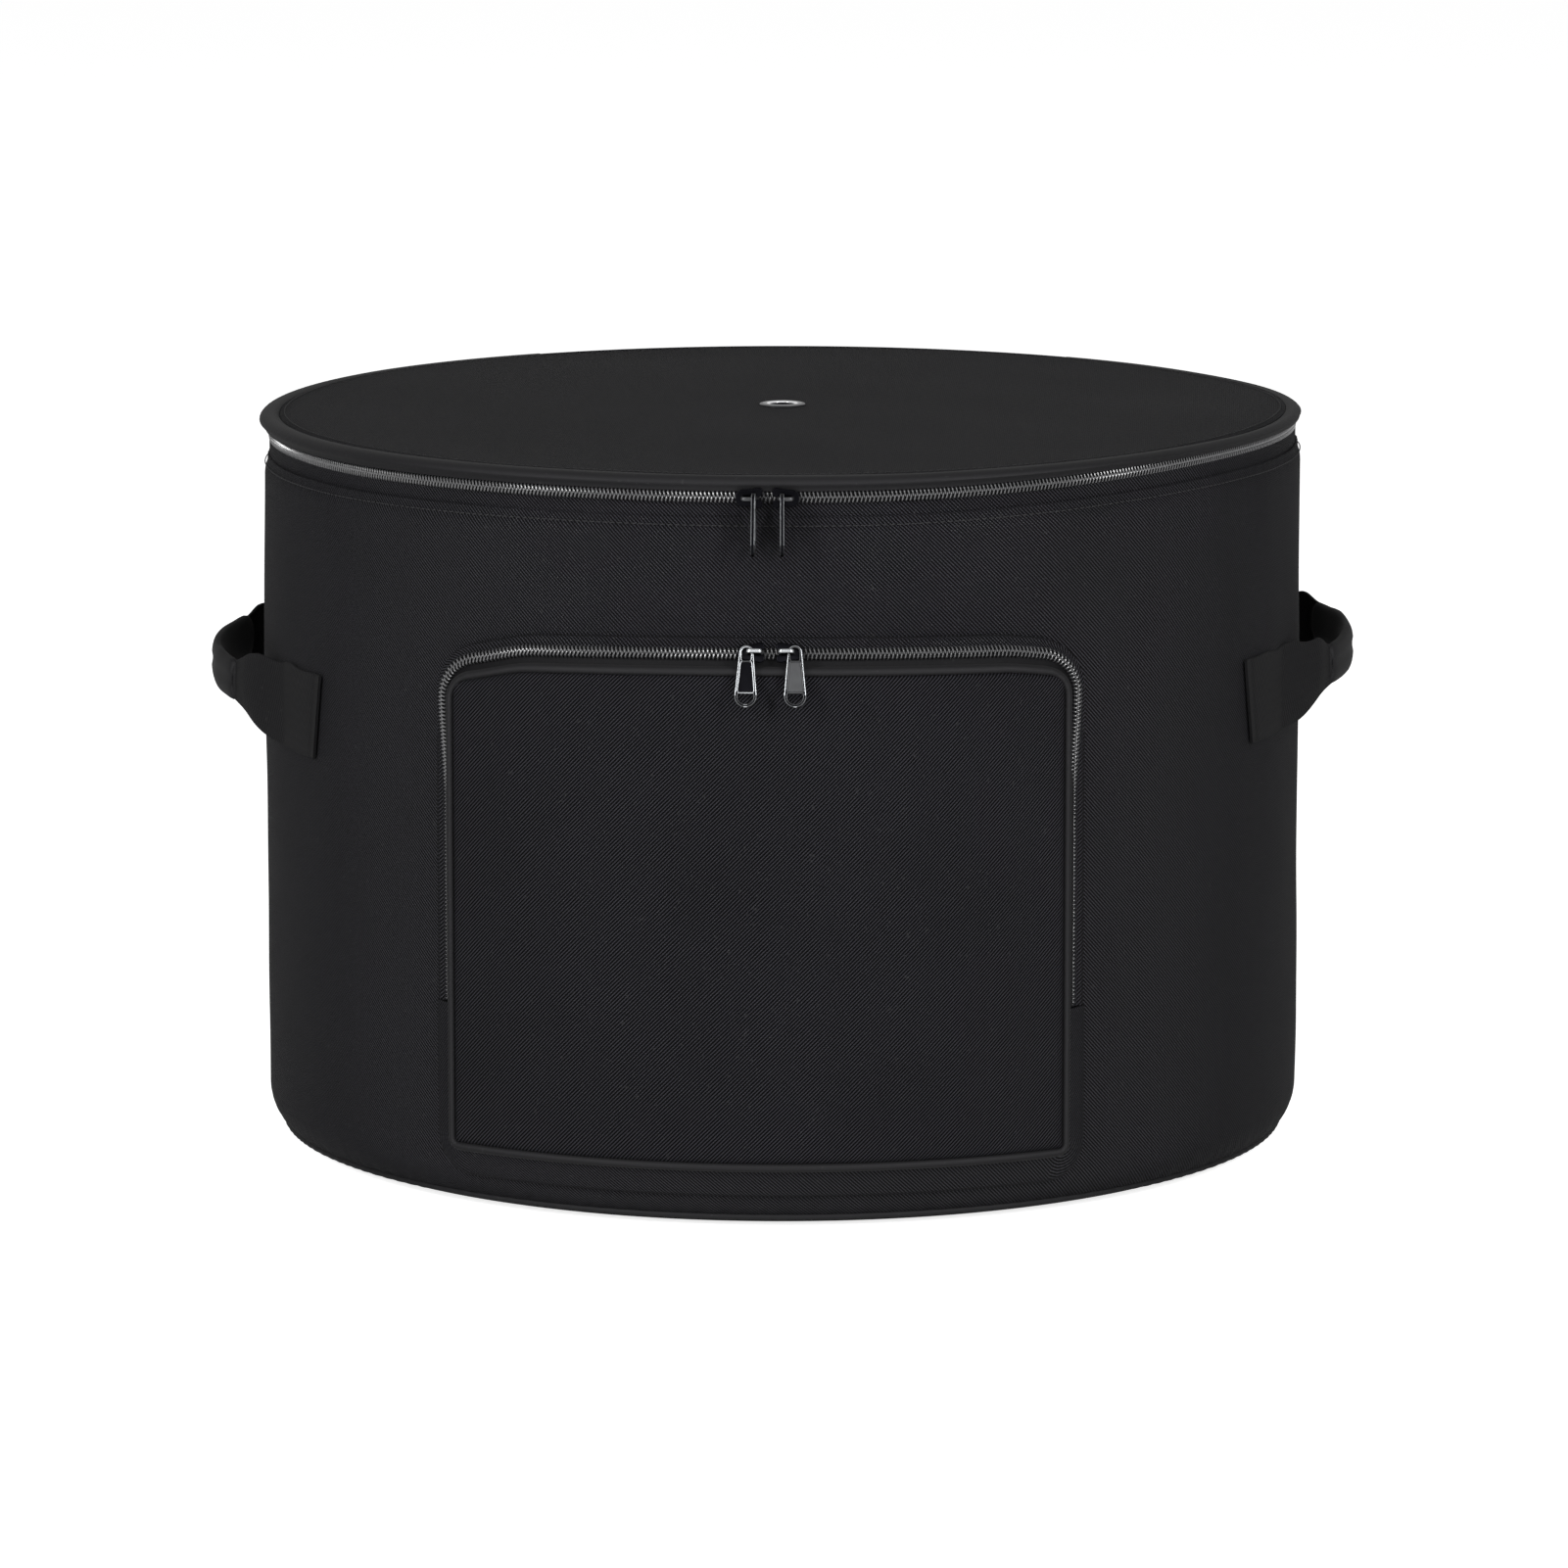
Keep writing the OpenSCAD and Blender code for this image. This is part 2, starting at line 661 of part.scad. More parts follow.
// The plain gusset below the ends of the zip
module pocket_gusset() {
    color(cloth)
        loft(cup_rings(tape_section(0, strip_w)));
}

module pocket_tape_wall() {
    color(tape_tone)
        loft(reversed(arch_rings(tape_section(0, strip_mid - chain_slot / 2))));
}

module pocket_tape_flap() {
    color(tape_tone)
        loft(reversed(arch_rings(tape_section(strip_mid + chain_slot / 2, strip_w))));
}

module pocket_coil_wall() pocket_coil(strip_mid - chain_slot / 2 - coil_w, 0);
module pocket_coil_flap() pocket_coil(strip_mid + chain_slot / 2, 1);

// ---- handles -------------------------------------------------------------------------------------------

// How far the inside of a handle stands off the wall, at a turn from its middle
function handle_rise(turn) = abs(turn) < handle_free_angle
    ? (handle_reach - handle_t) * pow(cos(90 * turn / handle_free_angle), 1.4)
    : 0;

// How far a handle is folded at a turn from its middle: 1 at the grip and 0 where it lies flat
function handle_fold(turn) = let (t = min(1, max(0, (abs(turn) - grip_half_angle)
    / (handle_free_angle + 2 - grip_half_angle)))) 1 - t * t * (3 - 2 * t);

// A strap sewn flat to the wall at both ends and standing out between them, folded lengthwise at the grip:
// its top edge comes down, and its inside comes nearer to the wall
module handle(middle) {
    color(webbing)
        loft(reversed([for (k = [0:handle_steps])
            let (turn = handle_end_angle * (2 * k / handle_steps - 1), fold = handle_fold(turn),
                out = handle_in_r + handle_rise(turn) + handle_t,
                in = out - handle_t - min(handle_rise(turn), (grip_t - handle_t) * fold),
                low = handle_z - handle_w / 2 + 4 * fold,
                high = handle_z + handle_w / 2 - (handle_w - grip_h - 4) * fold)
            [
                on_drum(in, middle + turn, low),
                on_drum(out, middle + turn, low),
                on_drum(out, middle + turn, high),
                on_drum(in, middle + turn, high)]]));
}

module handle_left() handle(handle_turn - 90);
module handle_right() handle(handle_turn + 90);

// ---- parts ---------------------------------------------------------------------------------------------

wall_front();
wall_back();
base_panel();
base_welt();
base_binding();
back_binding_left();
back_binding_right();
zip_tape_wall();
zip_coil_wall();
handle_left();
handle_right();
pocket_pouch();
pocket_gusset();
pocket_pouch_welt();
pocket_tape_wall();
pocket_coil_wall();
lid_panel();
lid_rim();
lid_back_strip();
lid_binding();
zip_tape_lid();
zip_coil_lid();
eyelet();
eyelet_washer();
lid_slider_left();
lid_slider_right();
lid_pull_left();
lid_pull_right();
pocket_flap();
pocket_flap_welt();
pocket_tape_flap();
pocket_coil_flap();
pocket_slider_left();
pocket_slider_right();
pocket_pull_left();
pocket_pull_right();
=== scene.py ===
"""Round cloth storage bag for a coiled hose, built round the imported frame.

Shapes are worked out in millimetres, Z up, the front of the bag towards -Y, and go into the meshes in metres.
A turn is an angle in degrees round the drum from the front, positive to the right.
"""

import bmesh
import bpy
import numpy as np
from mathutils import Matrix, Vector


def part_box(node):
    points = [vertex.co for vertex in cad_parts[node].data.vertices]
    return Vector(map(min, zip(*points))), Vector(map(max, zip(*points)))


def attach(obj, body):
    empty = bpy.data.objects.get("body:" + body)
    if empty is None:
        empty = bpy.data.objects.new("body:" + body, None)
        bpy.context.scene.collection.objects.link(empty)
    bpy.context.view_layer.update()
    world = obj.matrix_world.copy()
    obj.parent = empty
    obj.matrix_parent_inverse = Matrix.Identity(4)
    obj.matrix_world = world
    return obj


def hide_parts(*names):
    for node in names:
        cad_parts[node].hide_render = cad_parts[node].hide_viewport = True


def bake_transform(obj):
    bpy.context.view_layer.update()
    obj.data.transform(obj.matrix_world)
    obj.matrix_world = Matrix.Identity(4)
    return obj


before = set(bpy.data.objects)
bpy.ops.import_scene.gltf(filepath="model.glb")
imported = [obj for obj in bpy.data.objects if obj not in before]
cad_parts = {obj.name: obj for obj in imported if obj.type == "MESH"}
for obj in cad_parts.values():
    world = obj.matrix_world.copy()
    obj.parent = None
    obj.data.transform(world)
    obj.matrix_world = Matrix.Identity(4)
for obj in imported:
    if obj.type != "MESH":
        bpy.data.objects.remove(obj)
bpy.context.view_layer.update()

bl_info = {
    "name": "Round Hose Bag",
    "version": (1, 0, 0),
    "blender": (4, 5, 0),
    "location": "3D View > Sidebar > Hose Bag",
    "description": "Builds the cloth, zips, handles and fittings of a round storage bag round its CAD frame",
    "category": "Add Mesh",
}

MM = 0.001


def span(node):
    """Lowest and highest corner of a CAD node, in millimetres."""
    low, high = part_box(node)
    return np.array(low) / MM, np.array(high) / MM


def bottom(node):
    return float(span(node)[0][2])


def top(node):
    return float(span(node)[1][2])


# ---- sizes of the frame, in millimetres ------------------------------------------------------------------
DRUM_R = round(float(span("wall_back")[1][1]), 2)
WALL_TOP = top("wall_front")
LID_Z = top("lid_rim")
ZIP_Z = (top("zip_coil_wall") + bottom("zip_coil_lid")) / 2
HANDLE_Z = (bottom("handle_left") + top("handle_left")) / 2
POCKET_TOP = top("pocket_tape_wall")
POCKET_LOW = bottom("pocket_gusset")
FOLD_Z = (bottom("pocket_flap") + top("pocket_pouch")) / 2
CLOTH_T = 2.4
EDGE_R = 22.0            # radius of the rolled lower edge
BASE_SEAM = 50.0         # degrees down the rolled edge
PIPING_GAP = 5.0         # degrees from the base seam to the cloth on each side of its piping
BACK_HALF = 33.0         # half the angle of the plain strip at the back
TAPE_T = 0.9
TAPE_R = DRUM_R - CLOTH_T - 0.3          # outer face of the lid zip's tape and of what is sewn to the wall
LID_EDGE_R = DRUM_R + 1.5
LID_SEAM_R = LID_EDGE_R - 9.0
BORE_R = 7.1             # radius of the hole in the lid's cloth for the eyelet
FLAT_R = 15.0            # and of the flat patch round it
POCKET_HALF = 159.0      # along the wall
POCKET_CORNER = 25.0     # radius of the pocket's upper corners
POCKET_LOW_CORNER = 18.0
POCKET_R = DRUM_R + 11.5                 # outer face of the pocket's front
STRIP_R = DRUM_R + 0.5                   # the sloped strip of the pocket's zip, where it leaves the wall
STRIP_SLOPE = np.radians(22.0)
STRIP_MID = 7.7          # from the wall's seam to the middle of the pocket's chain
WELT_IN = 12.1           # inset of the folded edge round the pocket's front
PANEL_IN = 15.7          # inset of the pocket's front panel
FRONT_HALF = 180.0 - BACK_HALF
GROOVE_Z = WALL_TOP - 3.6                # stitched groove of the wall's folded top edge
BINDING_T = 1.9
BINDING_DROP = 8.7       # from the top to the fold of a binding tape
LID_LIFT = 0.4           # share of the zip's lift that reaches the lid's top
SEAM_LAP = 0.05          # degrees that the cloth on each side runs past an upright seam at the back
ZIP_SAG = 2.3            # how far the pocket's zip hangs below its true line in the middle
# Height, wavelength and seed of each layer of soft waves in the cloth.
WALL_WAVES = ((0.55, 190.0, 11), (0.22, 60.0, 12))
LID_WAVES = ((0.50, 210.0, 21), (0.22, 70.0, 22))
FRONT_WAVES = ((0.34, 130.0, 41), (0.16, 46.0, 42))

# ---- two bodies and the span between them, for cloth that joins them -------------------------------------
FOLD_SPREAD = 20.0       # height of the span above and below the pocket's fold
BACK_BEND = {"a": "shell", "b": "lid", "start": (0, DRUM_R * MM, (ZIP_Z - 1.5) * MM),
             "end": (0, DRUM_R * MM, (LID_Z - 1.0) * MM)}
FOLD_BEND = {"a": "shell", "b": "pocket_flap",
             "start": (0.0, -POCKET_R * MM, (FOLD_Z - FOLD_SPREAD) * MM),
             "end": (0.0, -POCKET_R * MM, (FOLD_Z + FOLD_SPREAD) * MM)}


# ---- settings a user would change ------------------------------------------------------------------------
def colour_setting(name, words, value):
    return bpy.props.FloatVectorProperty(
        name=name, description=words, default=value, size=3, min=0.0, max=1.0, subtype="COLOR")


def length_setting(name, words, value, low=0.0):
    return bpy.props.FloatProperty(
        name=name, description=words, default=value, min=low, max=0.1, precision=5, unit="LENGTH")


class BagSizes(bpy.types.PropertyGroup):
    """Sizes of the cloth's and the zips' detail."""

    twill_pitch: length_setting("Twill pitch", "Distance along the cloth between its slanted ribs", 0.00184)
    tooth_pitch: length_setting("Tooth pitch", "Distance between the teeth of one zip row", 0.0019, 0.001)
    stitch_length: length_setting("Stitch length", "Visible length of one stitch", 0.0027, 0.001)
    stitch_pitch: length_setting("Stitch pitch", "Distance between the starts of two stitches", 0.0034, 0.001)
    rib_pitch: length_setting("Rib pitch", "Distance between the ribs across the webbing", 0.0016)
    softness: bpy.props.FloatProperty(
        name="Softness", description="How far the cloth waves, 1 as on the real bag", default=1.0, min=0.0,
        max=3.0, subtype="FACTOR")


class BagColours(bpy.types.PropertyGroup):
    """Colours of the materials."""

    cloth: colour_setting("Cloth", "Twill of the drum, lid and pocket", (0.0112, 0.0109, 0.0134))
    edge: colour_setting("Edge cloth", "Smooth strips beside the zips", (0.0072, 0.0070, 0.0080))
    lining: colour_setting("Lining", "Coated inner face", (0.0090, 0.0090, 0.0100))
    tape: colour_setting("Zip tape", "Woven tape of the zips", (0.0042, 0.0041, 0.0047))
    teeth: colour_setting("Zip teeth", "Nylon coil", (0.0420, 0.0420, 0.0440))
    webbing: colour_setting("Webbing", "Handles", (0.0058, 0.0057, 0.0064))
    thread: colour_setting("Thread", "Stitches", (0.0080, 0.0078, 0.0088))
    gunmetal: colour_setting("Gunmetal", "Sliders and pulls", (0.004, 0.004, 0.005))
    # Panel metal is the sunk panels' own colour. It also serves as a weaker painted highlight on some edges
    # and as painted reflection on the eyelet.
    panel: colour_setting("Panel metal", "Sunk panels of the pulls", (0.055, 0.056, 0.058))
    # Bright edge is a painted highlight: a light colour on the rounded edges of sliders and pulls.
    painted_highlight: colour_setting("Bright edge", "Highlighted edges of sliders and pulls", (0.30, 0.31, 0.32))
    nickel: colour_setting("Nickel", "Eyelet", (0.60, 0.60, 0.61))
    floor: colour_setting("Floor", "Plain floor", (0.88, 0.88, 0.88))


def sizes():
    return bpy.context.scene.bag_sizes


def colours():
    return bpy.context.scene.bag_colours


# ---- arrays ----------------------------------------------------------------------------------------------
def on_drum(radius, turn, z):
    """Points at a radius, a turn from the front and a height."""
    angle = np.radians(turn)
    return np.stack(np.broadcast_arrays(radius * np.sin(angle), -radius * np.cos(angle), z), axis=-1)


def outwards(turn):
    """Directions that point away from the drum's axis at each turn."""
    return on_drum(1.0, turn, 0.0)


def full_turn(count):
    """COUNT even turns round the whole drum."""
    return np.linspace(-180.0, 180.0, count + 1)[:-1]


def front_turns(count, past):
    """COUNT even turns from one upright seam at the back to the other, and PAST them by some degrees."""
    return np.linspace(-FRONT_HALF - past, FRONT_HALF + past, count)


def run_at(turn, radius=DRUM_R):
    """Distance along the drum's wall from the front to a turn."""
    return turn * np.pi / 180.0 * radius


def unit(vectors):
    return vectors / np.maximum(np.linalg.norm(vectors, axis=-1, keepdims=True), 1e-9)


def ease(low, high, x):
    """0 below LOW, 1 above HIGH and a smooth cubic step between."""
    t = np.clip((x - low) / (high - low), 0.0, 1.0)
    return t * t * (3.0 - 2.0 * t)


def hump(x, middle, width):
    """A bell of height 1 at MIDDLE."""
    return np.exp(-(((x - middle) / width) ** 2))


def ripples(points, scale, seed, count=9):
    """Soft waves, about -1 to 1: a sum of COUNT sines of the distance along seeded directions, with
    wavelengths round SCALE."""
    rng = np.random.default_rng(seed)
    ways = unit(rng.normal(size=(count, 3)))
    wavelengths = scale * rng.uniform(0.6, 1.7, count)
    starts = rng.uniform(0.0, 2.0 * np.pi, count)
    return np.sin(2.0 * np.pi * (points @ ways.T) / wavelengths + starts).sum(axis=-1) / np.sqrt(count)


def waves(points, layers):
    """Soft waves of cloth: a sum of layers of ripples, as strong as the softness setting says."""
    return sizes().softness * sum(height * ripples(points, scale, seed) for height, scale, seed in layers)


def gathers(run, pitch, wobble):
    """Small gathers of sewn cloth: a wave of the distance RUN, with WOBBLE added to its angle."""
    return np.sin(2.0 * np.pi * run / pitch + wobble)


def lengths(path, closed=False):
    """Distance along a path of points to each of them, and back to the first one if it is closed."""
    if closed:
        path = np.concatenate([path, path[:1]])
    steps = np.linalg.norm(np.diff(path, axis=0), axis=-1)
    return np.concatenate([[0.0], np.cumsum(steps)])


def normals(grid, ring=False):
    """Unit normals of a grid of points, from the cross product of its two directions."""
    along = np.roll(grid, -1, 0) - np.roll(grid, 1, 0) if ring else np.gradient(grid, axis=0)
    return unit(np.cross(along, np.gradient(grid, axis=1)))


# ---- solids ----------------------------------------------------------------------------------------------
# A solid is (points, groups): each group holds faces with one number of corners, their UV places in
# millimetres and their material numbers.
def loft(rings, ring=False, look=0, along=None):
    """A closed solid through rings of points (n, k, 3). Neighbouring rings are joined cell by cell, and an
    open end is closed by a ladder of faces from one side of its ring to the other. LOOK is a material
    number, or one for each of the k segments of a ring."""
    n, k = rings.shape[:2]
    along = lengths(rings[:, 0], ring) if along is None else along
    across = lengths(rings[n // 2], closed=True)
    look = np.broadcast_to(look, k)
    i, j = np.meshgrid(np.arange(n - (not ring)), np.arange(k), indexing="ij")
    i = i.reshape(-1, 1) + np.array([0, 1, 1, 0])
    j = j.reshape(-1, 1) + np.array([0, 0, 1, 1])
    groups = [((i % n) * k + j % k, np.stack([along[i], across[j]], axis=-1), look[j[:, 0]])]
    if not ring:
        p = np.arange(1, (k - 1) // 2)
        ladder = np.stack([p, p + 1, k - p - 1, k - p], axis=-1)
        tips = [[0, 1, k - 1]] + ([[k // 2 - 1, k // 2, k // 2 + 1]] if k % 2 == 0 else [])
        for end, step in ((0, 1), (n - 1, -1)):
            for corners in (ladder, np.array(tips)):
                if len(corners):
                    corners = corners[:, ::step]
                    place = np.stack([np.full(corners.shape, along[end]), across[corners]], axis=-1)
                    groups.append((corners + end * k, place, np.full(len(corners), look[0])))
    return rings.reshape(-1, 3), groups


def sheet(front, thick, ring=False, look=(0, 1), pole=False, swell=0.35, along=None):
    """Cloth: the grid FRONT, a copy set back along its normals, and a rounded edge between them. THICK is
    one thickness, or one for each row. With POLE the first row is one point, and has no edge."""
    thick = np.broadcast_to(thick, front.shape[1])[:, None]
    back = front - normals(front, ring) * thick
    if pole:
        back[:, 0] = front[:, 0] + (back[:, 1] - front[:, 1]).mean(axis=0)
    middle = (front + back) / 2.0
    high = middle[:, -1] + unit(front[:, -1] - front[:, -2]) * thick[-1] * swell
    rows = front.shape[1]
    if pole:
        rings = np.concatenate([front, high[:, None], back[:, ::-1]], axis=1)
        looks = [look[0]] * (rows + 1) + [look[1]] * rows
    else:
        low = middle[:, 0] + unit(front[:, 0] - front[:, 1]) * thick[0] * swell
        rings = np.concatenate([low[:, None], front, high[:, None], back[:, ::-1]], axis=1)
        looks = [look[0]] * (rows + 2) + [look[1]] * (rows - 1) + [look[0]]
    return loft(rings, ring, looks, along)


def closed_cord(path, radius, out):
    """A round cord on a closed path: circles square to it, counted from the direction OUT at each point."""
    way = unit(np.roll(path, -1, 0) - np.roll(path, 1, 0))
    out = unit(out - (out * way).sum(-1, keepdims=True) * way)
    side = np.cross(out, way)
    angle = 2.0 * np.pi * np.arange(8)[:, None] / 8.0
    circle = np.cos(angle) * out[:, None] + np.sin(angle) * side[:, None]
    return loft(path[:, None] + radius[:, None, None] * circle, ring=True)


def scattered(rings, origin, along, out):
    """The same small loft at many places. Its rings hold distances along, across and out."""
    across = np.cross(out, along)
    points, groups = loft(rings)
    places = (origin[:, None] + points[:, :1] * along[:, None] + points[:, 1:2] * across[:, None]
              + points[:, 2:] * out[:, None])
    shift = len(points) * np.arange(len(origin))[:, None, None]
    return places.reshape(-1, 3), [
        ((faces[None] + shift).reshape(-1, faces.shape[1]), np.tile(place, (len(origin), 1, 1)),
         np.tile(look, len(origin))) for faces, place, look in groups]


def put(name, body, solids, looks, slot, *nodes, plan=False, weld=False, sharp=48.0):
    """Makes one mesh object of some solids, with a UV map in metres. It rides on BODY, or, where BODY holds
    two bodies and a span between them, stays where it is made, with its transform baked. It replaces some CAD
    nodes, and SLOT, a material slot of the record, is not used. With PLAN the UV place is the point's place
    in plan."""
    points = np.concatenate([solid[0] for solid in solids])
    faces, places, numbers, first = [], [], [], 0
    for cloud, groups in solids:
        for corners, place, look in groups:
            faces.extend((corners + first).tolist())
            places.append((points[corners + first][..., :2] if plan else place).reshape(-1, 2))
            numbers.append(look)
        first += len(cloud)
    mesh = bpy.data.meshes.new(name)
    mesh.from_pydata((points * MM).tolist(), [], faces)
    layer = mesh.uv_layers.new(name="Cloth")
    layer.uv.foreach_set("vector", (np.concatenate(places) * MM).astype(np.float32).ravel())
    mesh.polygons.foreach_set("material_index", np.concatenate(numbers).astype(np.int32))
    if weld:
        work = bmesh.new()
        work.from_mesh(mesh)
        bmesh.ops.remove_doubles(work, verts=work.verts, dist=1e-6)
        loose = [edge for edge in work.edges if not edge.link_faces]
        bmesh.ops.delete(work, geom=loose, context="EDGES")
        work.to_mesh(mesh)
        work.free()
    mesh.shade_smooth()
    mesh.set_sharp_from_angle(angle=np.radians(sharp))
    for look in looks:
        mesh.materials.append(material(look))
    piece = bpy.data.objects.new(name, mesh)
    bpy.context.collection.objects.link(piece)
    if isinstance(body, dict):
        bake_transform(piece)
    else:
        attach(piece, body)
    if nodes:
        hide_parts(*nodes)


# ---- shader groups ---------------------------------------------------------------------------------------
class Wiring:
    """Adds nodes to a tree and links them. A socket is linked, and a plain value is set."""

    def __init__(self, tree):
        self.tree = tree
        self.column = 0

    def join(self, value, socket):
        if isinstance(value, bpy.types.NodeSocket):
            self.tree.links.new(value, socket)
        else:
            socket.default_value = value

    def fill(self, sockets, values):
        for key, value in values.items():
            self.join(value, sockets[key])

    def add(self, kind, inputs=None, **settings):
        node = self.tree.nodes.new(kind)
        node.location = (self.column, 0)
        self.column += 180
        for key, value in settings.items():
            setattr(node, key, value)
        self.fill(node.inputs, inputs or {})
        return node

    def maths(self, operation, *values):
        return self.add("ShaderNodeMath", dict(enumerate(values)), operation=operation).outputs[0]

    def about(self, value, amount, base):
        """BASE, raised by AMOUNT times how far the value is above one half."""
        return self.maths("MULTIPLY_ADD", self.maths("SUBTRACT", value, 0.5), amount, base)

    def scaled(self, colour, gain):
        node = self.add("ShaderNodeVectorMath", {0: colour}, operation="SCALE")
        self.join(gain, node.inputs["Scale"])
        return node.outputs[0]

    def sine(self, value, pitch):
        """A wave from 0 to 1 with the given pitch."""
        turns = self.maths("DIVIDE", value, pitch)
        wave = self.maths("SINE", self.maths("MULTIPLY", turns, 2.0 * np.pi))
        return self.maths("MULTIPLY_ADD", wave, 0.5, 0.5)


def shader_group(name, inputs, outputs):
    """A new group with float, vector or colour sockets: (tree, wiring, inputs, outputs)."""
    tree = bpy.data.node_groups.new(name, "ShaderNodeTree")
    kinds = {"f": "NodeSocketFloat", "v": "NodeSocketVector", "c": "NodeSocketColor"}
    for label, kind, value in inputs:
        socket = tree.interface.new_socket(label, in_out="INPUT", socket_type=kinds[kind])
        if value is not None:
            socket.default_value = value
    for label, kind in outputs:
        tree.interface.new_socket(label, in_out="OUTPUT", socket_type=kinds[kind])
    wires = Wiring(tree)
    return tree, wires, wires.add("NodeGroupInput").outputs, wires.add("NodeGroupOutput").inputs


def twill_group():
    """Twill: ribs slanted across the cloth, each broken into short floats by the yarns that cross it."""
    tree, w, get, give = shader_group(
        "Twill weave", [("Cloth", "v", None), ("Pitch", "f", 0.0013), ("Slant", "f", 1.0)],
        [("Height", "f"), ("Ridge", "f")])
    parts = w.add("ShaderNodeSeparateXYZ", {0: get["Cloth"]}).outputs
    slanted = w.maths("MULTIPLY_ADD", parts["Y"], get["Slant"], parts["X"])
    wave = w.sine(slanted, get["Pitch"])
    ridge = w.add("ShaderNodeMapRange", {"Value": wave, "From Min": 0.22, "From Max": 0.88},
                  interpolation_type="SMOOTHSTEP").outputs["Result"]
    fine = w.maths("MULTIPLY", get["Pitch"], 0.5)
    yarn = w.maths("MULTIPLY", w.sine(parts["X"], fine), w.sine(parts["Y"], fine))
    height = w.maths("MULTIPLY_ADD", yarn, 0.35, w.maths("MULTIPLY", ridge, 0.65))
    w.fill(give, {"Height": height, "Ridge": ridge})
    return tree


def rib_group():
    """Ribbed weave: ribs across the strap, crossed by fine columns half a rib out of step."""
    tree, w, get, give = shader_group(
        "Ribbed weave", [("Cloth", "v", None), ("Rib", "f", 0.0016), ("Column", "f", 0.0021)],
        [("Height", "f"), ("Ridge", "f")])
    parts = w.add("ShaderNodeSeparateXYZ", {0: get["Cloth"]}).outputs
    column = w.sine(parts["Y"], get["Column"])
    shift = w.maths("MULTIPLY", w.maths("GREATER_THAN", column, 0.5), 0.5)
    place = w.maths("ADD", w.maths("DIVIDE", parts["X"], get["Rib"]), shift)
    rib = w.sine(place, 1.0)
    height = w.maths("MULTIPLY_ADD", column, 0.3, w.maths("MULTIPLY", rib, 0.7))
    w.fill(give, {"Height": height, "Ridge": rib})
    return tree


LINT_SCALE = 420.0       # specks of lint per metre
LINT_COLOUR = (0.07, 0.07, 0.07, 1.0)


def use_group():
    """Signs of use: broad soft patches for tone and roughness, a fine grain and small specks of lint."""
    tree, w, get, give = shader_group(
        "Use and dust", [("Place", "v", None), ("Patch", "f", 18.0), ("Grain", "f", 900.0),
                         ("Lint", "f", 0.15)],
        [("Patch", "f"), ("Grain", "f"), ("Lint", "f")])
    patch, grain, specks = (
        w.add("ShaderNodeTexNoise", {"Vector": get["Place"], "Scale": scale, "Detail": detail}).outputs["Fac"]
        for scale, detail in ((get["Patch"], 3.0), (get["Grain"], 2.0), (LINT_SCALE, 1.0)))
    lint = w.add("ShaderNodeMapRange", {"Value": specks, "From Min": 0.70, "From Max": 0.78}).outputs[0]
    w.fill(give, {"Patch": patch, "Grain": grain, "Lint": w.maths("MULTIPLY", lint, get["Lint"])})
    return tree


def ridge_shade_and_tint_group():
    """A colour made darker in the valleys and lighter on the ridges, with soft patches and lint. On cloth the
    ridges are its weave, so the darker valleys are painted shade and the lighter ridges painted highlight; on
    metal and nylon they are a random grain of tone.
    """
    tree, w, get, give = shader_group(
        "Ridge shade and tint", [("Colour", "c", None), ("Ridge", "f", 0.5), ("Patch", "f", 0.5), ("Lint", "f", 0.0),
                       ("Contrast", "f", 0.5)], [("Colour", "c")])
    gain = w.maths("MULTIPLY", w.about(get["Ridge"], get["Contrast"], 1.0), w.about(get["Patch"], 0.5, 1.0))
    scaled = w.scaled(get["Colour"], gain)
    mixed = w.add("ShaderNodeMix", {0: get["Lint"]}, data_type="RGBA")
    w.fill(mixed.inputs, {6: scaled, 7: LINT_COLOUR})
    w.fill(give, {"Colour": mixed.outputs[2]})
    return tree


GROUPS = {"Twill weave": twill_group, "Ribbed weave": rib_group, "Use and dust": use_group,
          "Ridge shade and tint": ridge_shade_and_tint_group}


def group_node(wires, name, inputs):
    tree = bpy.data.node_groups.get(name) or GROUPS[name]()
    node = wires.add("ShaderNodeGroup", node_tree=tree)
    wires.fill(node.inputs, inputs)
    return node.outputs


# ---- materials -------------------------------------------------------------------------------------------
# For each cloth: colour setting, weave, its pitch in metres or the setting that holds it, its slant or
# column, contrast of its ribs (painted shade in the valleys and painted highlight on the ridges, and rougher
# valleys), depth of the bump in metres, roughness, sheen and how much light it mirrors.
CLOTHS = {
    "Twill cloth": ("cloth", "Twill weave", "twill_pitch", 1.0, 2.0, 0.00085, 0.20, 0.0, 0.11),
    "Pocket twill": ("cloth", "Twill weave", "twill_pitch", -1.0, 2.0, 0.00085, 0.24, 0.0, 0.07),
    "Edge cloth": ("edge", "Twill weave", 0.0010, -1.0, 0.35, 0.00005, 0.55, 0.01, 0.18),
    "Coated lining": ("lining", "Twill weave", 0.0019, 1.0, 0.10, 0.00003, 0.42, 0.0, 0.30),
    "Zip tape": ("tape", "Ribbed weave", 0.0011, 0.0008, 0.30, 0.00006, 0.60, 0.0, 0.12),
    "Binding tape": ("tape", "Ribbed weave", 0.0013, 0.0010, 0.35, 0.00008, 0.62, 0.02, 0.22),
    "Webbing": ("webbing", "Ribbed weave", "rib_pitch", 0.0023, 1.2, 0.00035, 0.60, 0.0, 0.13),
    "Sleeve": ("webbing", "Twill weave", 0.0010, -1.0, 0.35, 0.00005, 0.55, 0.02, 0.18),
    "Thread": ("thread", "Ribbed weave", 0.0005, 0.0004, 0.40, 0.00006, 0.50, 0.02, 0.30),
}
GRAZING = 3.0            # how much rougher cloth looks where it turns away
SHADE = 0.8              # how much darker its colour is painted there, as painted shade
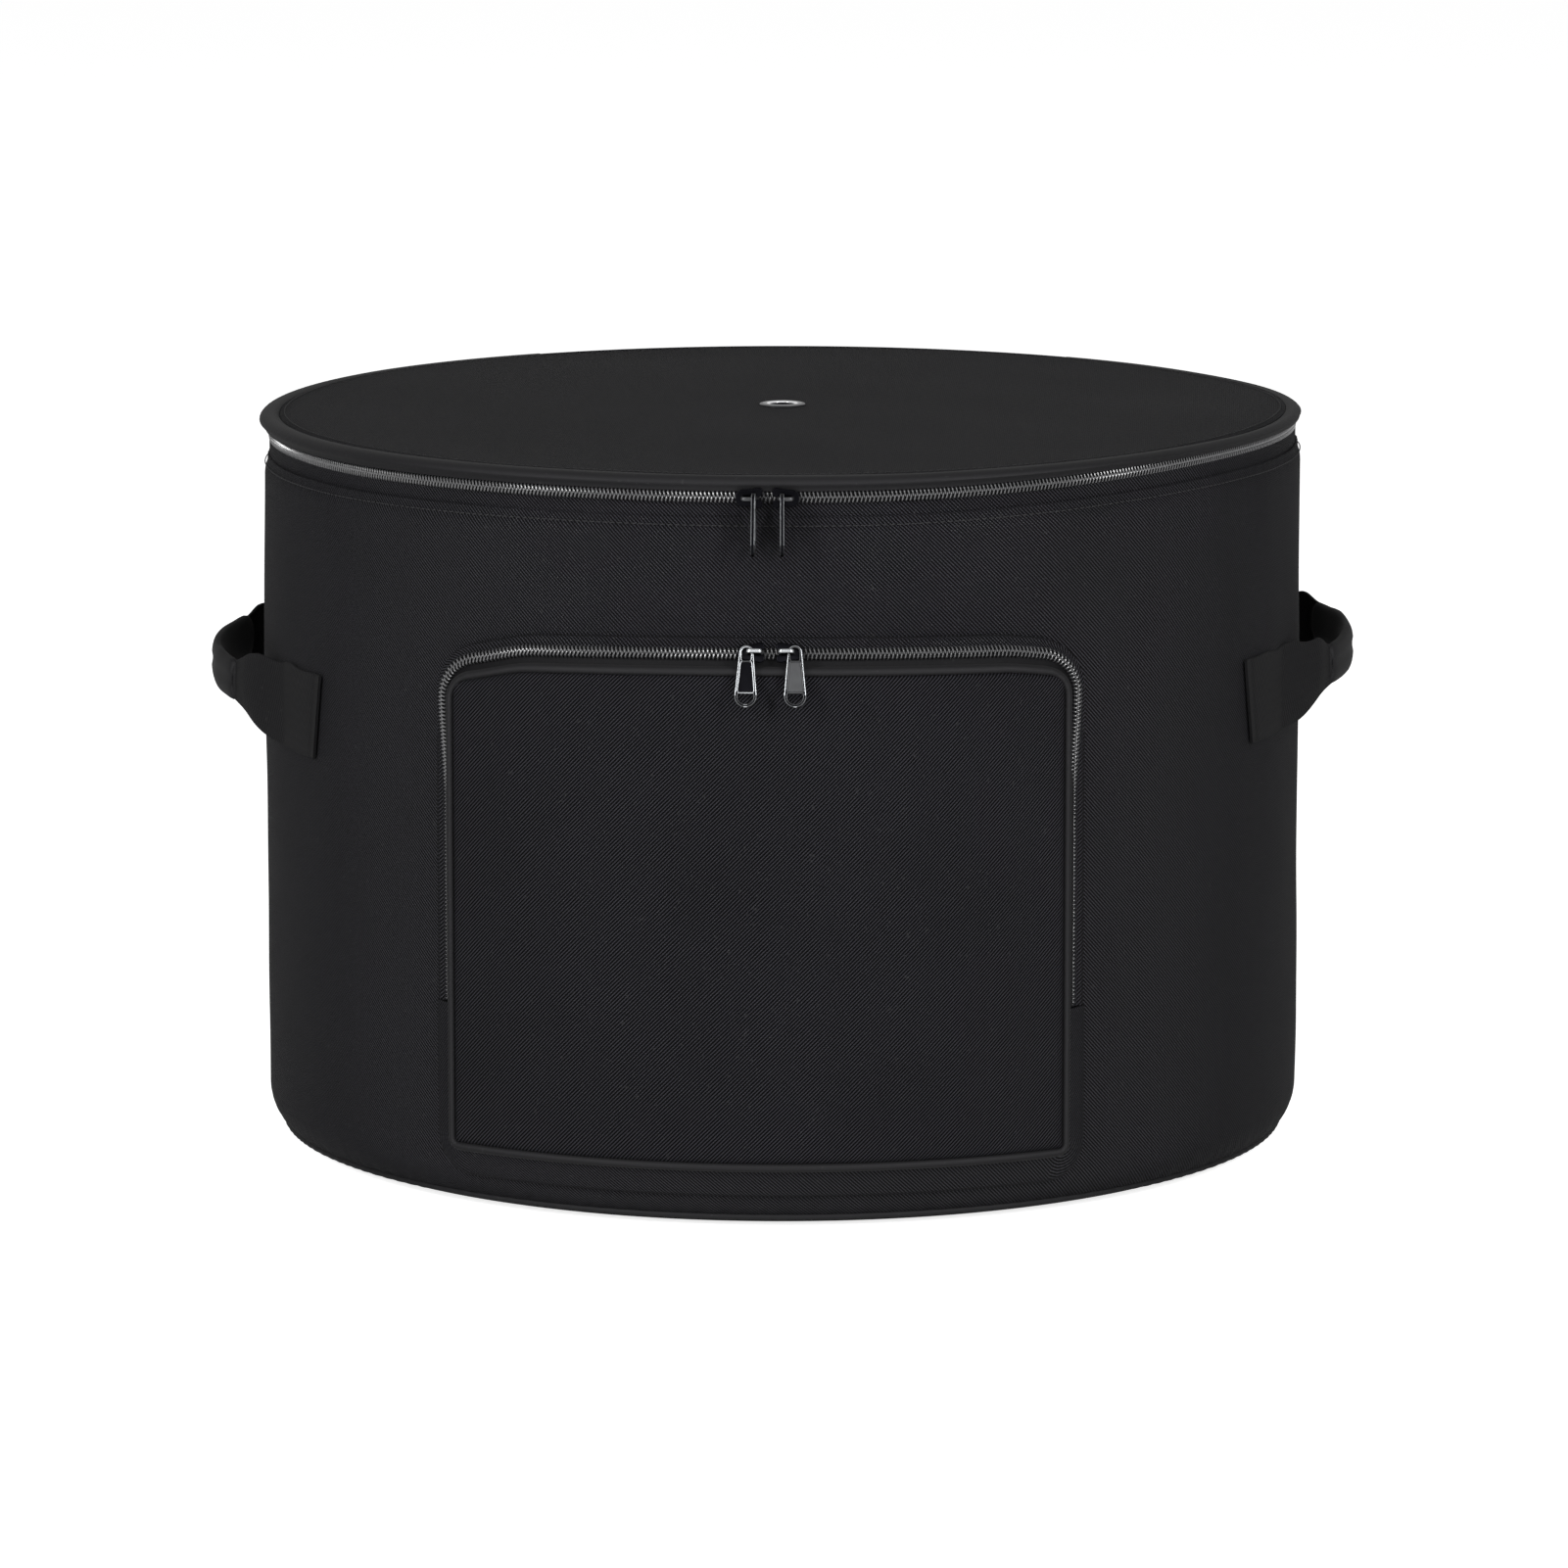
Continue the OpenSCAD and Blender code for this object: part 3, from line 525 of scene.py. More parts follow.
VALLEY = 0.60            # how much rougher its valleys are, for a contrast of 1
SPACING = {"Twill weave": ("Pitch", "Slant"), "Ribbed weave": ("Rib", "Column")}


def start_material(name):
    """A new material with one surface shader: (material, wiring, the shader's inputs, the output)."""
    made = bpy.data.materials.new(name)
    made.use_nodes = True
    made.node_tree.nodes.clear()
    wires = Wiring(made.node_tree)
    surface = wires.add("ShaderNodeBsdfPrincipled", distribution="GGX")
    output = wires.add("ShaderNodeOutputMaterial", {"Surface": surface.outputs[0]})
    return made, wires, surface.inputs, output


def cloth_material(name):
    """Cloth: a woven height and ridge by UV place, with painted shade in the valleys and painted highlight on
    the ridges, tinted by signs of use, and with painted shade where it turns away.
    """
    colour, weave, pitch, second, contrast, depth, rough, sheen, mirror = CLOTHS[name]
    made, w, surface, _ = start_material(name)
    cloth = w.add("ShaderNodeUVMap", uv_map="Cloth").outputs[0]
    place = w.add("ShaderNodeTexCoord").outputs["Object"]
    first_name, second_name = SPACING[weave]
    if isinstance(pitch, str):
        pitch = getattr(sizes(), pitch)
    woven = group_node(w, weave, {"Cloth": cloth, first_name: pitch, second_name: second})
    used = group_node(w, "Use and dust", {"Place": place})
    # Painted shade and painted highlight: the colour is darker in the weave's valleys and lighter on its
    # ridges, as strong as the contrast says; the patches and lint are tone and dust.
    tint = group_node(w, "Ridge shade and tint", {
        "Colour": (*getattr(colours(), colour), 1.0), "Ridge": woven["Ridge"], "Patch": used["Patch"],
        "Lint": used["Lint"], "Contrast": contrast})
    facing = w.add("ShaderNodeLayerWeight", {"Blend": 0.5}).outputs["Facing"]
    # Painted shade: the base colour is made darker where the cloth turns away from the camera.
    w.join(w.scaled(tint["Colour"], w.maths("MULTIPLY_ADD", facing, -SHADE, 1.0)), surface["Base Color"])
    rough = w.maths("MULTIPLY_ADD", w.maths("MULTIPLY", facing, facing), GRAZING, rough)
    rough = w.maths("MULTIPLY_ADD", w.maths("SUBTRACT", 1.0, woven["Ridge"]), VALLEY * contrast, rough)
    spread = w.about(used["Patch"], 0.18, rough)
    w.join(w.maths("MULTIPLY_ADD", used["Grain"], 0.06, spread), surface["Roughness"])
    height = w.maths("MULTIPLY_ADD", used["Grain"], 0.25, woven["Height"])
    bump = w.add("ShaderNodeBump", {"Height": height, "Strength": 1.0, "Distance": depth})
    w.join(bump.outputs[0], surface["Normal"])
    w.fill(surface, {"Specular IOR Level": mirror, "Sheen Weight": sheen, "Sheen Roughness": 0.45})
    return made


# For each hard finish: colour setting, metallic, roughness, spread of the roughness, depth of its bump and
# how much light it mirrors.
FINISHES = {
    "Zip teeth": ("teeth", 0.0, 0.22, 0.10, 0.0000004, 0.9),
    "Gunmetal": ("gunmetal", 1.0, 0.28, 0.12, 0.0000003, 0.5),
    "Panel metal": ("panel", 1.0, 0.42, 0.10, 0.0000003, 0.5),
    # Bright edge: painted highlight on the rounded edges of sliders and pulls.
    "Bright edge": ("painted_highlight", 1.0, 0.32, 0.10, 0.0000002, 0.5),
    "Nickel": ("nickel", 1.0, 0.24, 0.10, 0.0000002, 0.5),
}


def hard_material(name):
    """Metal or nylon: fine grain, with broad patches that are duller or shinier and a little darker."""
    colour, metallic, rough, spread, depth, mirror = FINISHES[name]
    made, w, surface, _ = start_material(name)
    place = w.add("ShaderNodeTexCoord").outputs["Object"]
    used = group_node(w, "Use and dust", {"Place": place, "Patch": 160.0, "Grain": 2500.0})
    tint = group_node(w, "Ridge shade and tint", {
        "Colour": (*getattr(colours(), colour), 1.0), "Ridge": used["Grain"], "Patch": used["Patch"],
        "Contrast": 0.10})
    w.join(tint["Colour"], surface["Base Color"])
    dull = w.about(used["Patch"], spread, rough)
    w.join(w.maths("MULTIPLY_ADD", used["Grain"], 0.04, dull), surface["Roughness"])
    w.fill(surface, {"Metallic": metallic, "Specular IOR Level": mirror})
    bump = w.add("ShaderNodeBump", {"Height": used["Grain"], "Strength": 1.0, "Distance": depth})
    w.join(bump.outputs[0], surface["Normal"])
    return made


def seen_directly(w):
    """1 for rays from the camera, also by way of mirrors and clear things, and 0 for light on the bag."""
    path = w.add("ShaderNodeLightPath").outputs
    return w.maths("MAXIMUM", w.maths("MAXIMUM", path["Is Camera Ray"], path["Is Glossy Ray"]),
                   path["Is Transmission Ray"])


def floor_material(name):
    """A matt pale floor that keeps the bag's shadow, and shows as white to the camera and to mirrors."""
    made, w, surface, output = start_material(name)
    place = w.add("ShaderNodeTexCoord").outputs["Object"]
    used = group_node(w, "Use and dust", {"Place": place, "Patch": 3.0, "Grain": 300.0})
    tone = w.about(used["Patch"], 0.01, colours().floor[0])
    w.fill(surface, {"Base Color": tone, "Roughness": 0.9, "Specular IOR Level": 0.0})
    strength = w.maths("MULTIPLY", seen_directly(w), FLOOR_LIFT)
    glow = w.add("ShaderNodeEmission", {"Color": (1.0, 1.0, 1.0, 1.0), "Strength": strength})
    both = w.add("ShaderNodeAddShader")
    w.tree.links.new(surface["Base Color"].node.outputs[0], both.inputs[0])
    w.tree.links.new(glow.outputs[0], both.inputs[1])
    w.tree.links.new(both.outputs[0], output.inputs["Surface"])
    return made


def material(name):
    """The material of that name, made when it is first asked for."""
    if name in bpy.data.materials:
        return bpy.data.materials[name]
    if name in CLOTHS:
        return cloth_material(name)
    return hard_material(name) if name in FINISHES else floor_material(name)


# ---- soft shape of the bag -------------------------------------------------------------------------------
def zip_lift(turn):
    """How far the cloth's softness lifts the lid zip: up at the right side, a little down at the left."""
    turn = (np.asarray(turn, float) + 180.0) % 360.0 - 180.0
    right = 5.2 * ease(10.0, 62.0, turn) * (1.0 - ease(88.0, 128.0, turn))
    left = 1.2 * ease(12.0, 58.0, -turn) * (1.0 - ease(90.0, 128.0, -turn))
    return (right - left) * min(sizes().softness, 1.0)


def wall_swell(points):
    """How far the wall stands out of its true cylinder: broad and small waves, fading at the lower edge."""
    return waves(points, WALL_WAVES) * ease(5.0, 60.0, points[..., 2])


def lid_height(points):
    """How far the lid's top stands above its edge: a low crown and soft waves, still at the eyelet."""
    radius = np.hypot(points[..., 0], points[..., 1])
    crown = 0.5 * (1.0 + np.cos(np.pi * np.clip((radius - FLAT_R) / (LID_SEAM_R - FLAT_R), 0.0, 1.0)))
    soft = ease(FLAT_R, 60.0, radius) * (1.0 - 0.6 * ease(200.0, 242.0, radius))
    return crown + waves(points * [1, 1, 0], LID_WAVES) * soft


# ---- drum ------------------------------------------------------------------------------------------------
def rolled_edge(angle, reach=EDGE_R):
    """Radius and height on the rolled lower edge, at degrees down from its upper end."""
    angle = np.radians(angle)
    return np.stack([DRUM_R - EDGE_R + reach * np.cos(angle), EDGE_R - reach * np.sin(angle)], axis=-1)


def wall_profile(z_high, rows):
    """Radius and height up the wall: from the base seam round the rolled edge, then straight up."""
    rolled = rolled_edge(np.linspace(BASE_SEAM - PIPING_GAP, 0.0, 12))
    share = np.linspace(0.0, 1.0, rows)[1:]
    z = EDGE_R + (z_high - EDGE_R) * (1.0 - (1.0 - share) ** 1.6)
    return np.concatenate([rolled, np.stack([np.full(len(z), DRUM_R), z], axis=-1)])


def wall_grid(turn, profile, lift):
    """The wall's outer face: the profile carried round the drum, with its top lifted, its cloth waved, its
    upright edges drawn into the seams and fine gathers along the seams at the top and bottom."""
    turn = turn[:, None]
    radius = profile[None, :, 0]
    z = profile[None, :, 1] + lift * ease(200.0, WALL_TOP, profile[None, :, 1])
    points = on_drum(radius, turn, z)
    swell = wall_swell(points)
    run = run_at(turn)
    wobble = ripples(points * [1, 1, 0.0], 40.0, 13)
    soft = sizes().softness
    swell = swell + soft * 0.20 * gathers(run, 8.5, 2.2 * wobble) * np.exp(-np.abs(z - lift - WALL_TOP) / 9.0)
    swell = swell + soft * 0.30 * gathers(run, 11.0, 2.0 * wobble) * hump(z, 6.0, 9.0)
    edge = run_at(np.minimum(np.abs(turn - turn[0, 0]), np.abs(turn - turn[-1, 0])))
    swell = swell - 1.3 * np.exp(-edge / 2.2)
    return on_drum(radius + swell, turn, z)


def make_wall():
    """Front wall, coated inside, with the stitched groove of its folded top edge."""
    turn = front_turns(440, SEAM_LAP)
    profile = wall_profile(WALL_TOP, 66)
    thin = ease(WALL_TOP - 9.0, WALL_TOP - 0.5, profile[:, 1])
    profile[:, 0] -= 1.5 * thin + 0.20 * hump(profile[:, 1], GROOVE_Z, 0.9)
    grid = wall_grid(turn, profile, zip_lift(turn)[:, None])
    solid = sheet(grid, CLOTH_T - 1.4 * thin, along=run_at(turn))
    put("wall_cloth", "shell", [solid], ["Twill cloth", "Coated lining"], "cloth", "wall_front")


def make_back():
    """The plain strip at the back in one piece with its top that turns over to the lid."""
    turn = np.linspace(FRONT_HALF - SEAM_LAP, 360.0 - FRONT_HALF + SEAM_LAP, 110)
    profile = wall_profile(LID_Z - 7.0, 56)
    angle = np.radians(np.linspace(0.0, 90.0, 12)[1:])
    bend = 5.6
    over = np.stack([DRUM_R - bend + bend * np.cos(angle), LID_Z - bend + bend * np.sin(angle)], axis=-1)
    flat = np.array([[LID_SEAM_R + 1.2, LID_Z], [LID_SEAM_R + 0.45, LID_Z - 0.5]])
    profile = np.concatenate([profile, over, flat])
    grid = wall_grid(turn, profile, 0.0)
    smooth = on_drum(profile[None, :, 0], turn[:, None], profile[None, :, 1])
    share = ease(LID_Z - 8.0, LID_Z - 1.0, grid[..., 2:3])
    grid = grid * (1.0 - share) + smooth * share
    put("back_cloth", BACK_BEND, [sheet(grid, CLOTH_T, along=run_at(turn))], ["Twill cloth", "Coated lining"],
        "cloth", "wall_back", "lid_back_strip")


def make_base():
    """The base: flat on the floor, rolled up at its edge to the seam, with a faint pucker there."""
    turn = full_turn(360)
    flat = np.linspace(0.0, DRUM_R - EDGE_R, 26)
    profile = np.concatenate([np.stack([flat, 0.0 * flat], axis=-1),
                              rolled_edge(np.linspace(90.0, BASE_SEAM + PIPING_GAP, 9)[1:])])
    grid = on_drum(profile[None, :, 0], turn[:, None], profile[None, :, 1])
    radius = profile[None, :, 0]
    away = ripples(grid, 80.0, 31) + 1.4
    grid[..., 2] += 0.35 * away * ease(20.0, 60.0, radius) * (1.0 - ease(190.0, 222.0, radius))
    put("base_cloth", "shell", [sheet(grid, CLOTH_T, ring=True, pole=True)], ["Twill cloth", "Coated lining"],
        "cloth", "base_panel", plan=True, weld=True)


def seam_point(turn, depth):
    """A point under the base seam: DEPTH is measured from the rolled edge's face towards its middle."""
    radius, z = rolled_edge(BASE_SEAM, EDGE_R - depth)
    return on_drum(radius, turn, z)


def make_base_welt():
    """The piping in the base seam: a cord of even swell with small tucks where it is sewn in."""
    turn = full_turn(1080)
    middle = seam_point(turn, -0.2)
    centre = seam_point(turn, EDGE_R)
    radius = 1.5 + 0.10 * gathers(run_at(turn), 9.0, 1.5 * ripples(middle, 60.0, 33))
    piping = closed_cord(middle, radius, unit(middle - centre))
    put("base_piping", "shell", [piping], ["Edge cloth"], "tape", "base_welt")


def put_binding(name, body, start, end, side, ring, node):
    """Tape folded over an allowance: a flat loop between two paths, with a rounded fold. SIDE points square
    to the tape."""
    share = np.linspace(0.0, 1.0, 6)[None, :, None]
    front = end[:, None] + (start - end)[:, None] * share + side[:, None] * BINDING_T / 2.0
    tape = sheet(front, BINDING_T, ring=ring, look=(0, 0), swell=0.5)
    put(name, body, [tape], ["Binding tape"], "coating", node)


def make_bindings():
    """The bound seam allowances inside: round the base, up both back seams and round the lid's seam."""
    turn = full_turn(360)
    wave = 0.25 * ripples(on_drum(DRUM_R, turn, 0.0), 35.0, 35)[:, None]
    side = unit(np.cross(unit(seam_point(turn, 0.0) - seam_point(turn, EDGE_R)), outwards(turn + 90)))
    near, deep = seam_point(turn, 2.9), seam_point(turn, 11.4) + side * wave
    put_binding("base_binding_tape", "shell", near, deep, -side, True, "base_binding")
    z = np.linspace(bottom("back_binding_left"), top("back_binding_left"), 90)
    for name, turn_at in (("left", -FRONT_HALF), ("right", FRONT_HALF)):
        along = outwards(np.full(len(z), turn_at + 90.0))
        wave = 0.35 * ripples(on_drum(DRUM_R, turn_at, z), 45.0, 36)[:, None]
        near = on_drum(TAPE_R, turn_at, z)
        deep = on_drum(TAPE_R - BINDING_DROP, turn_at, z) + along * wave
        put_binding(f"back_binding_tape_{name}", "shell", deep, near, along, False, f"back_binding_{name}")
    wave = 0.35 * ripples(on_drum(DRUM_R, turn, 0.0), 40.0, 37)[:, None]
    out = outwards(turn)
    high = LID_Z - CLOTH_T - 0.3
    near = on_drum(LID_SEAM_R - 2.0, turn, high)
    deep = on_drum(LID_SEAM_R - 2.0, turn, high - BINDING_DROP) + out * wave
    put_binding("lid_binding_tape", "lid", near, deep, out, True, "lid_binding")


# ---- lid -------------------------------------------------------------------------------------------------
def lid_seam_depth(turn):
    """How deep the lid's seam is drawn in: hardly at the front and back, and a crease at the sides."""
    sides = hump(turn, -78.0, 26.0) + 0.8 * hump(turn, 74.0, 20.0)
    return 0.22 + sizes().softness * (1.1 * sides + 0.10 * ripples(on_drum(DRUM_R, turn, 0.0), 70.0, 26))


def make_lid():
    """The lid's top panel, turned down at its seam and at the eyelet's hole."""
    turn = full_turn(360)
    radius = np.concatenate([[LID_SEAM_R - 0.15, LID_SEAM_R - 1.0, LID_SEAM_R - 2.4],
                             np.linspace(LID_SEAM_R - 5.0, 14.0, 62), [11.0, BORE_R + 0.6]])
    grid = on_drum(radius[None], turn[:, None], 0.0)
    lift = LID_LIFT * zip_lift(turn)[:, None]
    edge = LID_SEAM_R - radius[None]
    z = LID_Z + lid_height(grid) + lift * ease(120.0, LID_SEAM_R, radius[None])
    z = z - lid_seam_depth(turn)[:, None] * np.exp(-edge / 1.4)
    gather = gathers(run_at(turn[:, None], LID_SEAM_R), 9.0, 2.2 * ripples(grid, 50.0, 23))
    grid[..., 2] = z + 0.16 * sizes().softness * gather * np.exp(-edge / 7.0)
    put("lid_cloth", "lid", [sheet(grid, CLOTH_T, ring=True)], ["Twill cloth", "Coated lining"],
        "cloth", "lid_panel", plan=True)


RIM_LOW = ZIP_Z + 2.9    # lower edge of the lid's edge strip


def rim_profile():
    """Radius and height round the lid's edge strip, from its folded lower edge just above the teeth, over the
    soft roll and in to the seam."""
    lower = [LID_EDGE_R, RIM_LOW] + np.array([[-2.2, 0.0], [-2.0, 0.6], [-1.6, 1.5], [-1.0, 2.3]])
    angle = np.radians(np.linspace(0.0, 90.0, 10))
    roll = [LID_EDGE_R - 5.6, LID_Z - 3.4] + np.stack([5.3 * np.cos(angle), 3.4 * np.sin(angle)], axis=-1)
    flat = [[radius, LID_Z] for radius in (LID_EDGE_R - 6.4, LID_SEAM_R + 1.7, LID_SEAM_R + 0.9,
                                           LID_SEAM_R + 0.15)]
    return np.concatenate([lower, roll, flat])


def make_rim():
    """The strip that rolls over the lid's edge down to the zip, fuller on the left and tighter on the
    right, with small gathers."""
    turn = front_turns(440, SEAM_LAP)
    profile = rim_profile()
    lift = zip_lift(turn)[:, None]
    radius, z = profile[None, :, 0], profile[None, :, 1]
    low = 1.0 - ease(RIM_LOW, LID_Z, z)
    z = z - lid_seam_depth(turn)[:, None] * np.exp(-(radius - LID_SEAM_R) / 1.4)
    place = on_drum(DRUM_R, turn[:, None], z)
    gather = gathers(run_at(turn[:, None]), 7.5, 2.4 * ripples(place, 45.0, 24))
    soft = sizes().softness * (0.22 * ripples(place, 120.0, 25) + 0.10 * gather)
    full = ease(20.0, 80.0, -turn[:, None]) - 1.5 * ease(25.0, 85.0, turn[:, None])
    side = ease(LID_SEAM_R + 2.0, LID_EDGE_R, radius) * ease(ZIP_Z + 3.0, ZIP_Z + 7.0, z)
    z = z + lift * (LID_LIFT + 0.5 * low)
    grid = on_drum(radius + (soft + full) * side, turn[:, None], z)
    put("lid_edge_cloth", "lid", [sheet(grid, 1.2, look=(0, 0))], ["Edge cloth"], "cloth", "lid_rim")


# ---- lid zip ---------------------------------------------------------------------------------------------
def tooth_rings(side):
    """One tooth of a coil: a bent rod that rises from the tape, runs slanted to the middle of the chain and
    ends in a rounded head just past it. SIDE is 1 above the middle and -1 below."""
    middle = np.array([[0.00, 2.50, 0.35], [0.00, 2.58, 1.35], [0.12, 2.05, 2.05], [0.48, 0.70, 2.22],
                       [0.66, -0.05, 2.05], [0.70, -0.48, 1.35]])
    wide = np.array([0.36, 0.40, 0.40, 0.40, 0.50, 0.42])[:, None, None]
    high = np.array([0.30, 0.32, 0.36, 0.38, 0.46, 0.38])[:, None, None]
    way = unit(np.gradient(middle, axis=0))
    out = unit(np.cross(way, [1.0, 0.0, 0.0]))
    along = np.cross(way, out)
    angle = 2.0 * np.pi * (np.arange(5)[:, None] + 0.5) / 5.0
    rings = middle[:, None] + wide * np.cos(angle) * along[:, None] + high * np.sin(angle) * out[:, None]
    rings = rings[:, ::-1] if solid_volume(rings) < 0.0 else rings
    return rings if side > 0 else rings[:, ::-1] * [1.0, -1.0, 1.0]


def solid_volume(rings):
    """Volume inside a loft, from the sum of the signed volumes of its triangles. It is negative where the
    faces point inwards."""
    points, groups = loft(rings)
    total = 0.0
    for faces, _, _ in groups:
        corners = points[faces]
        for k in range(1, faces.shape[1] - 1):
            total += np.einsum("ij,ij->i", corners[:, 0], np.cross(corners[:, k], corners[:, k + 1])).sum()
    return total / 6.0


def chain_frames(path, out):
    """Directions along and out of a chain at each point of its path."""
    way = unit(np.gradient(path, axis=0))
    return way, unit(out - (out * way).sum(-1, keepdims=True) * way)


def core(path, out, low, high):
    """The sewn band under a row of teeth: a rounded bar between two distances across the chain."""
    way, out = chain_frames(path, out)
    across = np.cross(out, way)
    base, side, crest = 0.02, 0.945, 1.35
    section = np.array([[low, base], [high, base], [high, side], [high - 0.4, crest], [low + 0.4, crest],
                        [low, side]])
    rings = path[:, None] + section[:, :1] * across[:, None] + section[:, 1:] * out[:, None]
    return loft(rings, look=1)


def teeth_row(path, out, side):
    """A row of teeth along a path, with the dark band that holds them."""
    way, out_at = chain_frames(path, out)
    teeth = scattered(tooth_rings(side), path, way, out_at)
    thin = slice(0, len(path), 2)
    band = (0.55, 2.45) if side > 0 else (-2.45, -0.55)
    return [teeth, core(path[thin], out[thin], *band)]


def lid_chain(turn):
    """The middle of the lid zip's chain, and the directions out of it. It lies on the tape's face at the
    front and back, and deep between the folds of the cloth at the sides."""
    away = np.abs(turn)
    deep = 2.2 * ease(28.0, 66.0, away) * (1.0 - ease(112.0, 140.0, away))
    return on_drum(TAPE_R - deep, turn, ZIP_Z + zip_lift(turn)), outwards(turn)


def make_lid_zip():
    """Both halves of the lid zip: tapes with a bead at the teeth, and the interlocking rows."""
    ends = FRONT_HALF - 3.0
    count = int(2.0 * run_at(ends) / (sizes().tooth_pitch / MM))
    turn = np.linspace(-ends, ends, count)
    half = turn + ends / count
    for name, body, side, at, node in (("upper", "lid", 1, turn, "zip_coil_lid"),
                                       ("lower", "shell", -1, half, "zip_coil_wall")):
        path, out = lid_chain(at)
        put(f"lid_teeth_{name}", body, teeth_row(path, out, side), ["Zip teeth", "Zip tape"], "teeth", node,
            sharp=60.0)
    turn = front_turns(400, -0.3)
    lift = zip_lift(turn)[:, None]
    out = outwards(turn)[:, None]
    for name, body, side, reach, cloth, node in (
            ("upper", "lid", 1, 6.6, "Zip tape", "zip_tape_lid"),
            ("lower", "shell", -1, 15.6, "Twill cloth", "zip_tape_wall")):
        rise = np.sort(side * np.linspace(0.35, reach, 14))[None]
        share = 1.0 if side < 0 else 1.0 - 0.25 * ease(3.0, 6.6, rise)
        grid = on_drum(TAPE_R, turn[:, None], ZIP_Z + lift * share + rise)
        grid = grid + out * (0.12 * hump(np.abs(rise), 3.3, 0.35))[..., None]
        put(f"lid_tape_{name}", body, [sheet(grid, TAPE_T, look=(0, 0))], [cloth], "tape", node)


# ---- pocket ----------------------------------------------------------------------------------------------
# The two halves of the pocket's edge, above and below the fold: length of the straight side, radius of the
# corner, and 1 up or -1 down.
ARCH = (POCKET_TOP - POCKET_CORNER - FOLD_Z, POCKET_CORNER, 1)
CUP = (FOLD_Z - POCKET_LOW - POCKET_LOW_CORNER, POCKET_LOW_CORNER, -1)


def edge_length(half):
    """Length of one half of the pocket's edge, measured along the middle of the chain."""
    straight, corner, _ = half
    return 2.0 * (straight + (corner - STRIP_MID) * np.pi / 2.0 + POCKET_HALF - corner)


def along_edge(half, s, inset):
    """Place along the wall and height at an inset from the pocket's edge. S runs from the fold at the left
    up or down the side, round the corner, along the top or bottom and back to the fold at the right."""
    straight, corner, up = half
    near = np.minimum(s, edge_length(half) - s)
    bend = corner - STRIP_MID
    angle = np.clip((near - straight) / bend, 0.0, np.pi / 2.0)
    level = np.maximum(near - straight - bend * np.pi / 2.0, 0.0)
    x = -POCKET_HALF + corner - (corner - inset) * np.cos(angle) + level
    z = FOLD_Z + up * (np.minimum(near, straight) + (corner - inset) * np.sin(angle))
    return np.where(s > edge_length(half) / 2.0, -x, x), z


def pocket_sag(x):
    """How far the pocket's top hangs below its true line: little in the middle, and more at its corners."""
    left = 2.6 * (x / 105.0) ** 2 + 5.0 * ease(102.0, 143.0, -x)
    right = 2.2 * (x / 125.0) ** 2 + 2.5 * ease(112.0, 146.0, x)
    return (ZIP_SAG + np.where(x < 0.0, left, right)) * min(sizes().softness, 1.0)


def pocket_point(x, radius, z):
    """A point of the pocket, from its place along the wall. The cloth hangs lower towards its top."""
    return on_drum(radius, np.degrees(x / DRUM_R), z - pocket_sag(x) * ease(FOLD_Z, POCKET_TOP, z))


def on_strip(run, height):
    """Inset and radius of a point of the sloped zip strip."""
    inset = run * np.cos(STRIP_SLOPE) - height * np.sin(STRIP_SLOPE)
    return inset, STRIP_R + run * np.sin(STRIP_SLOPE) + height * np.cos(STRIP_SLOPE)


def strip_grid(half, s, run, height):
    """Points of a strip along one half of the pocket's edge. RUN and HEIGHT are rows across the strip."""
    inset, radius = on_strip(run[None, :], height)
    x, z = along_edge(half, s[:, None], inset)
    return pocket_point(x, radius, z)


def front_swell(x, z):
    """How far the pocket's front stands out: a little fuller in the middle, with soft waves, drawn in along
    its seam."""
    points = np.stack(np.broadcast_arrays(x, 0.0 * x, z), axis=-1)
    return waves(points, FRONT_WAVES) + 1.6 * (1.0 - (x / POCKET_HALF) ** 2) * hump(z, 120.0, 90.0)


def lost_to_corner(away, corner):
    """Width that a rounded corner of the front panel takes, at a distance from the panel's end."""
    corner = corner - PANEL_IN
    return corner - np.sqrt(np.maximum(corner ** 2 - np.maximum(corner - away, 0.0) ** 2, 0.0))


def front_half_width(z):
    """Half the width of the pocket's front panel at a height, with its rounded corners."""
    high = lost_to_corner(POCKET_TOP - PANEL_IN - z, POCKET_CORNER)
    low = lost_to_corner(z - POCKET_LOW - PANEL_IN, POCKET_LOW_CORNER)
    return POCKET_HALF - PANEL_IN - high - low


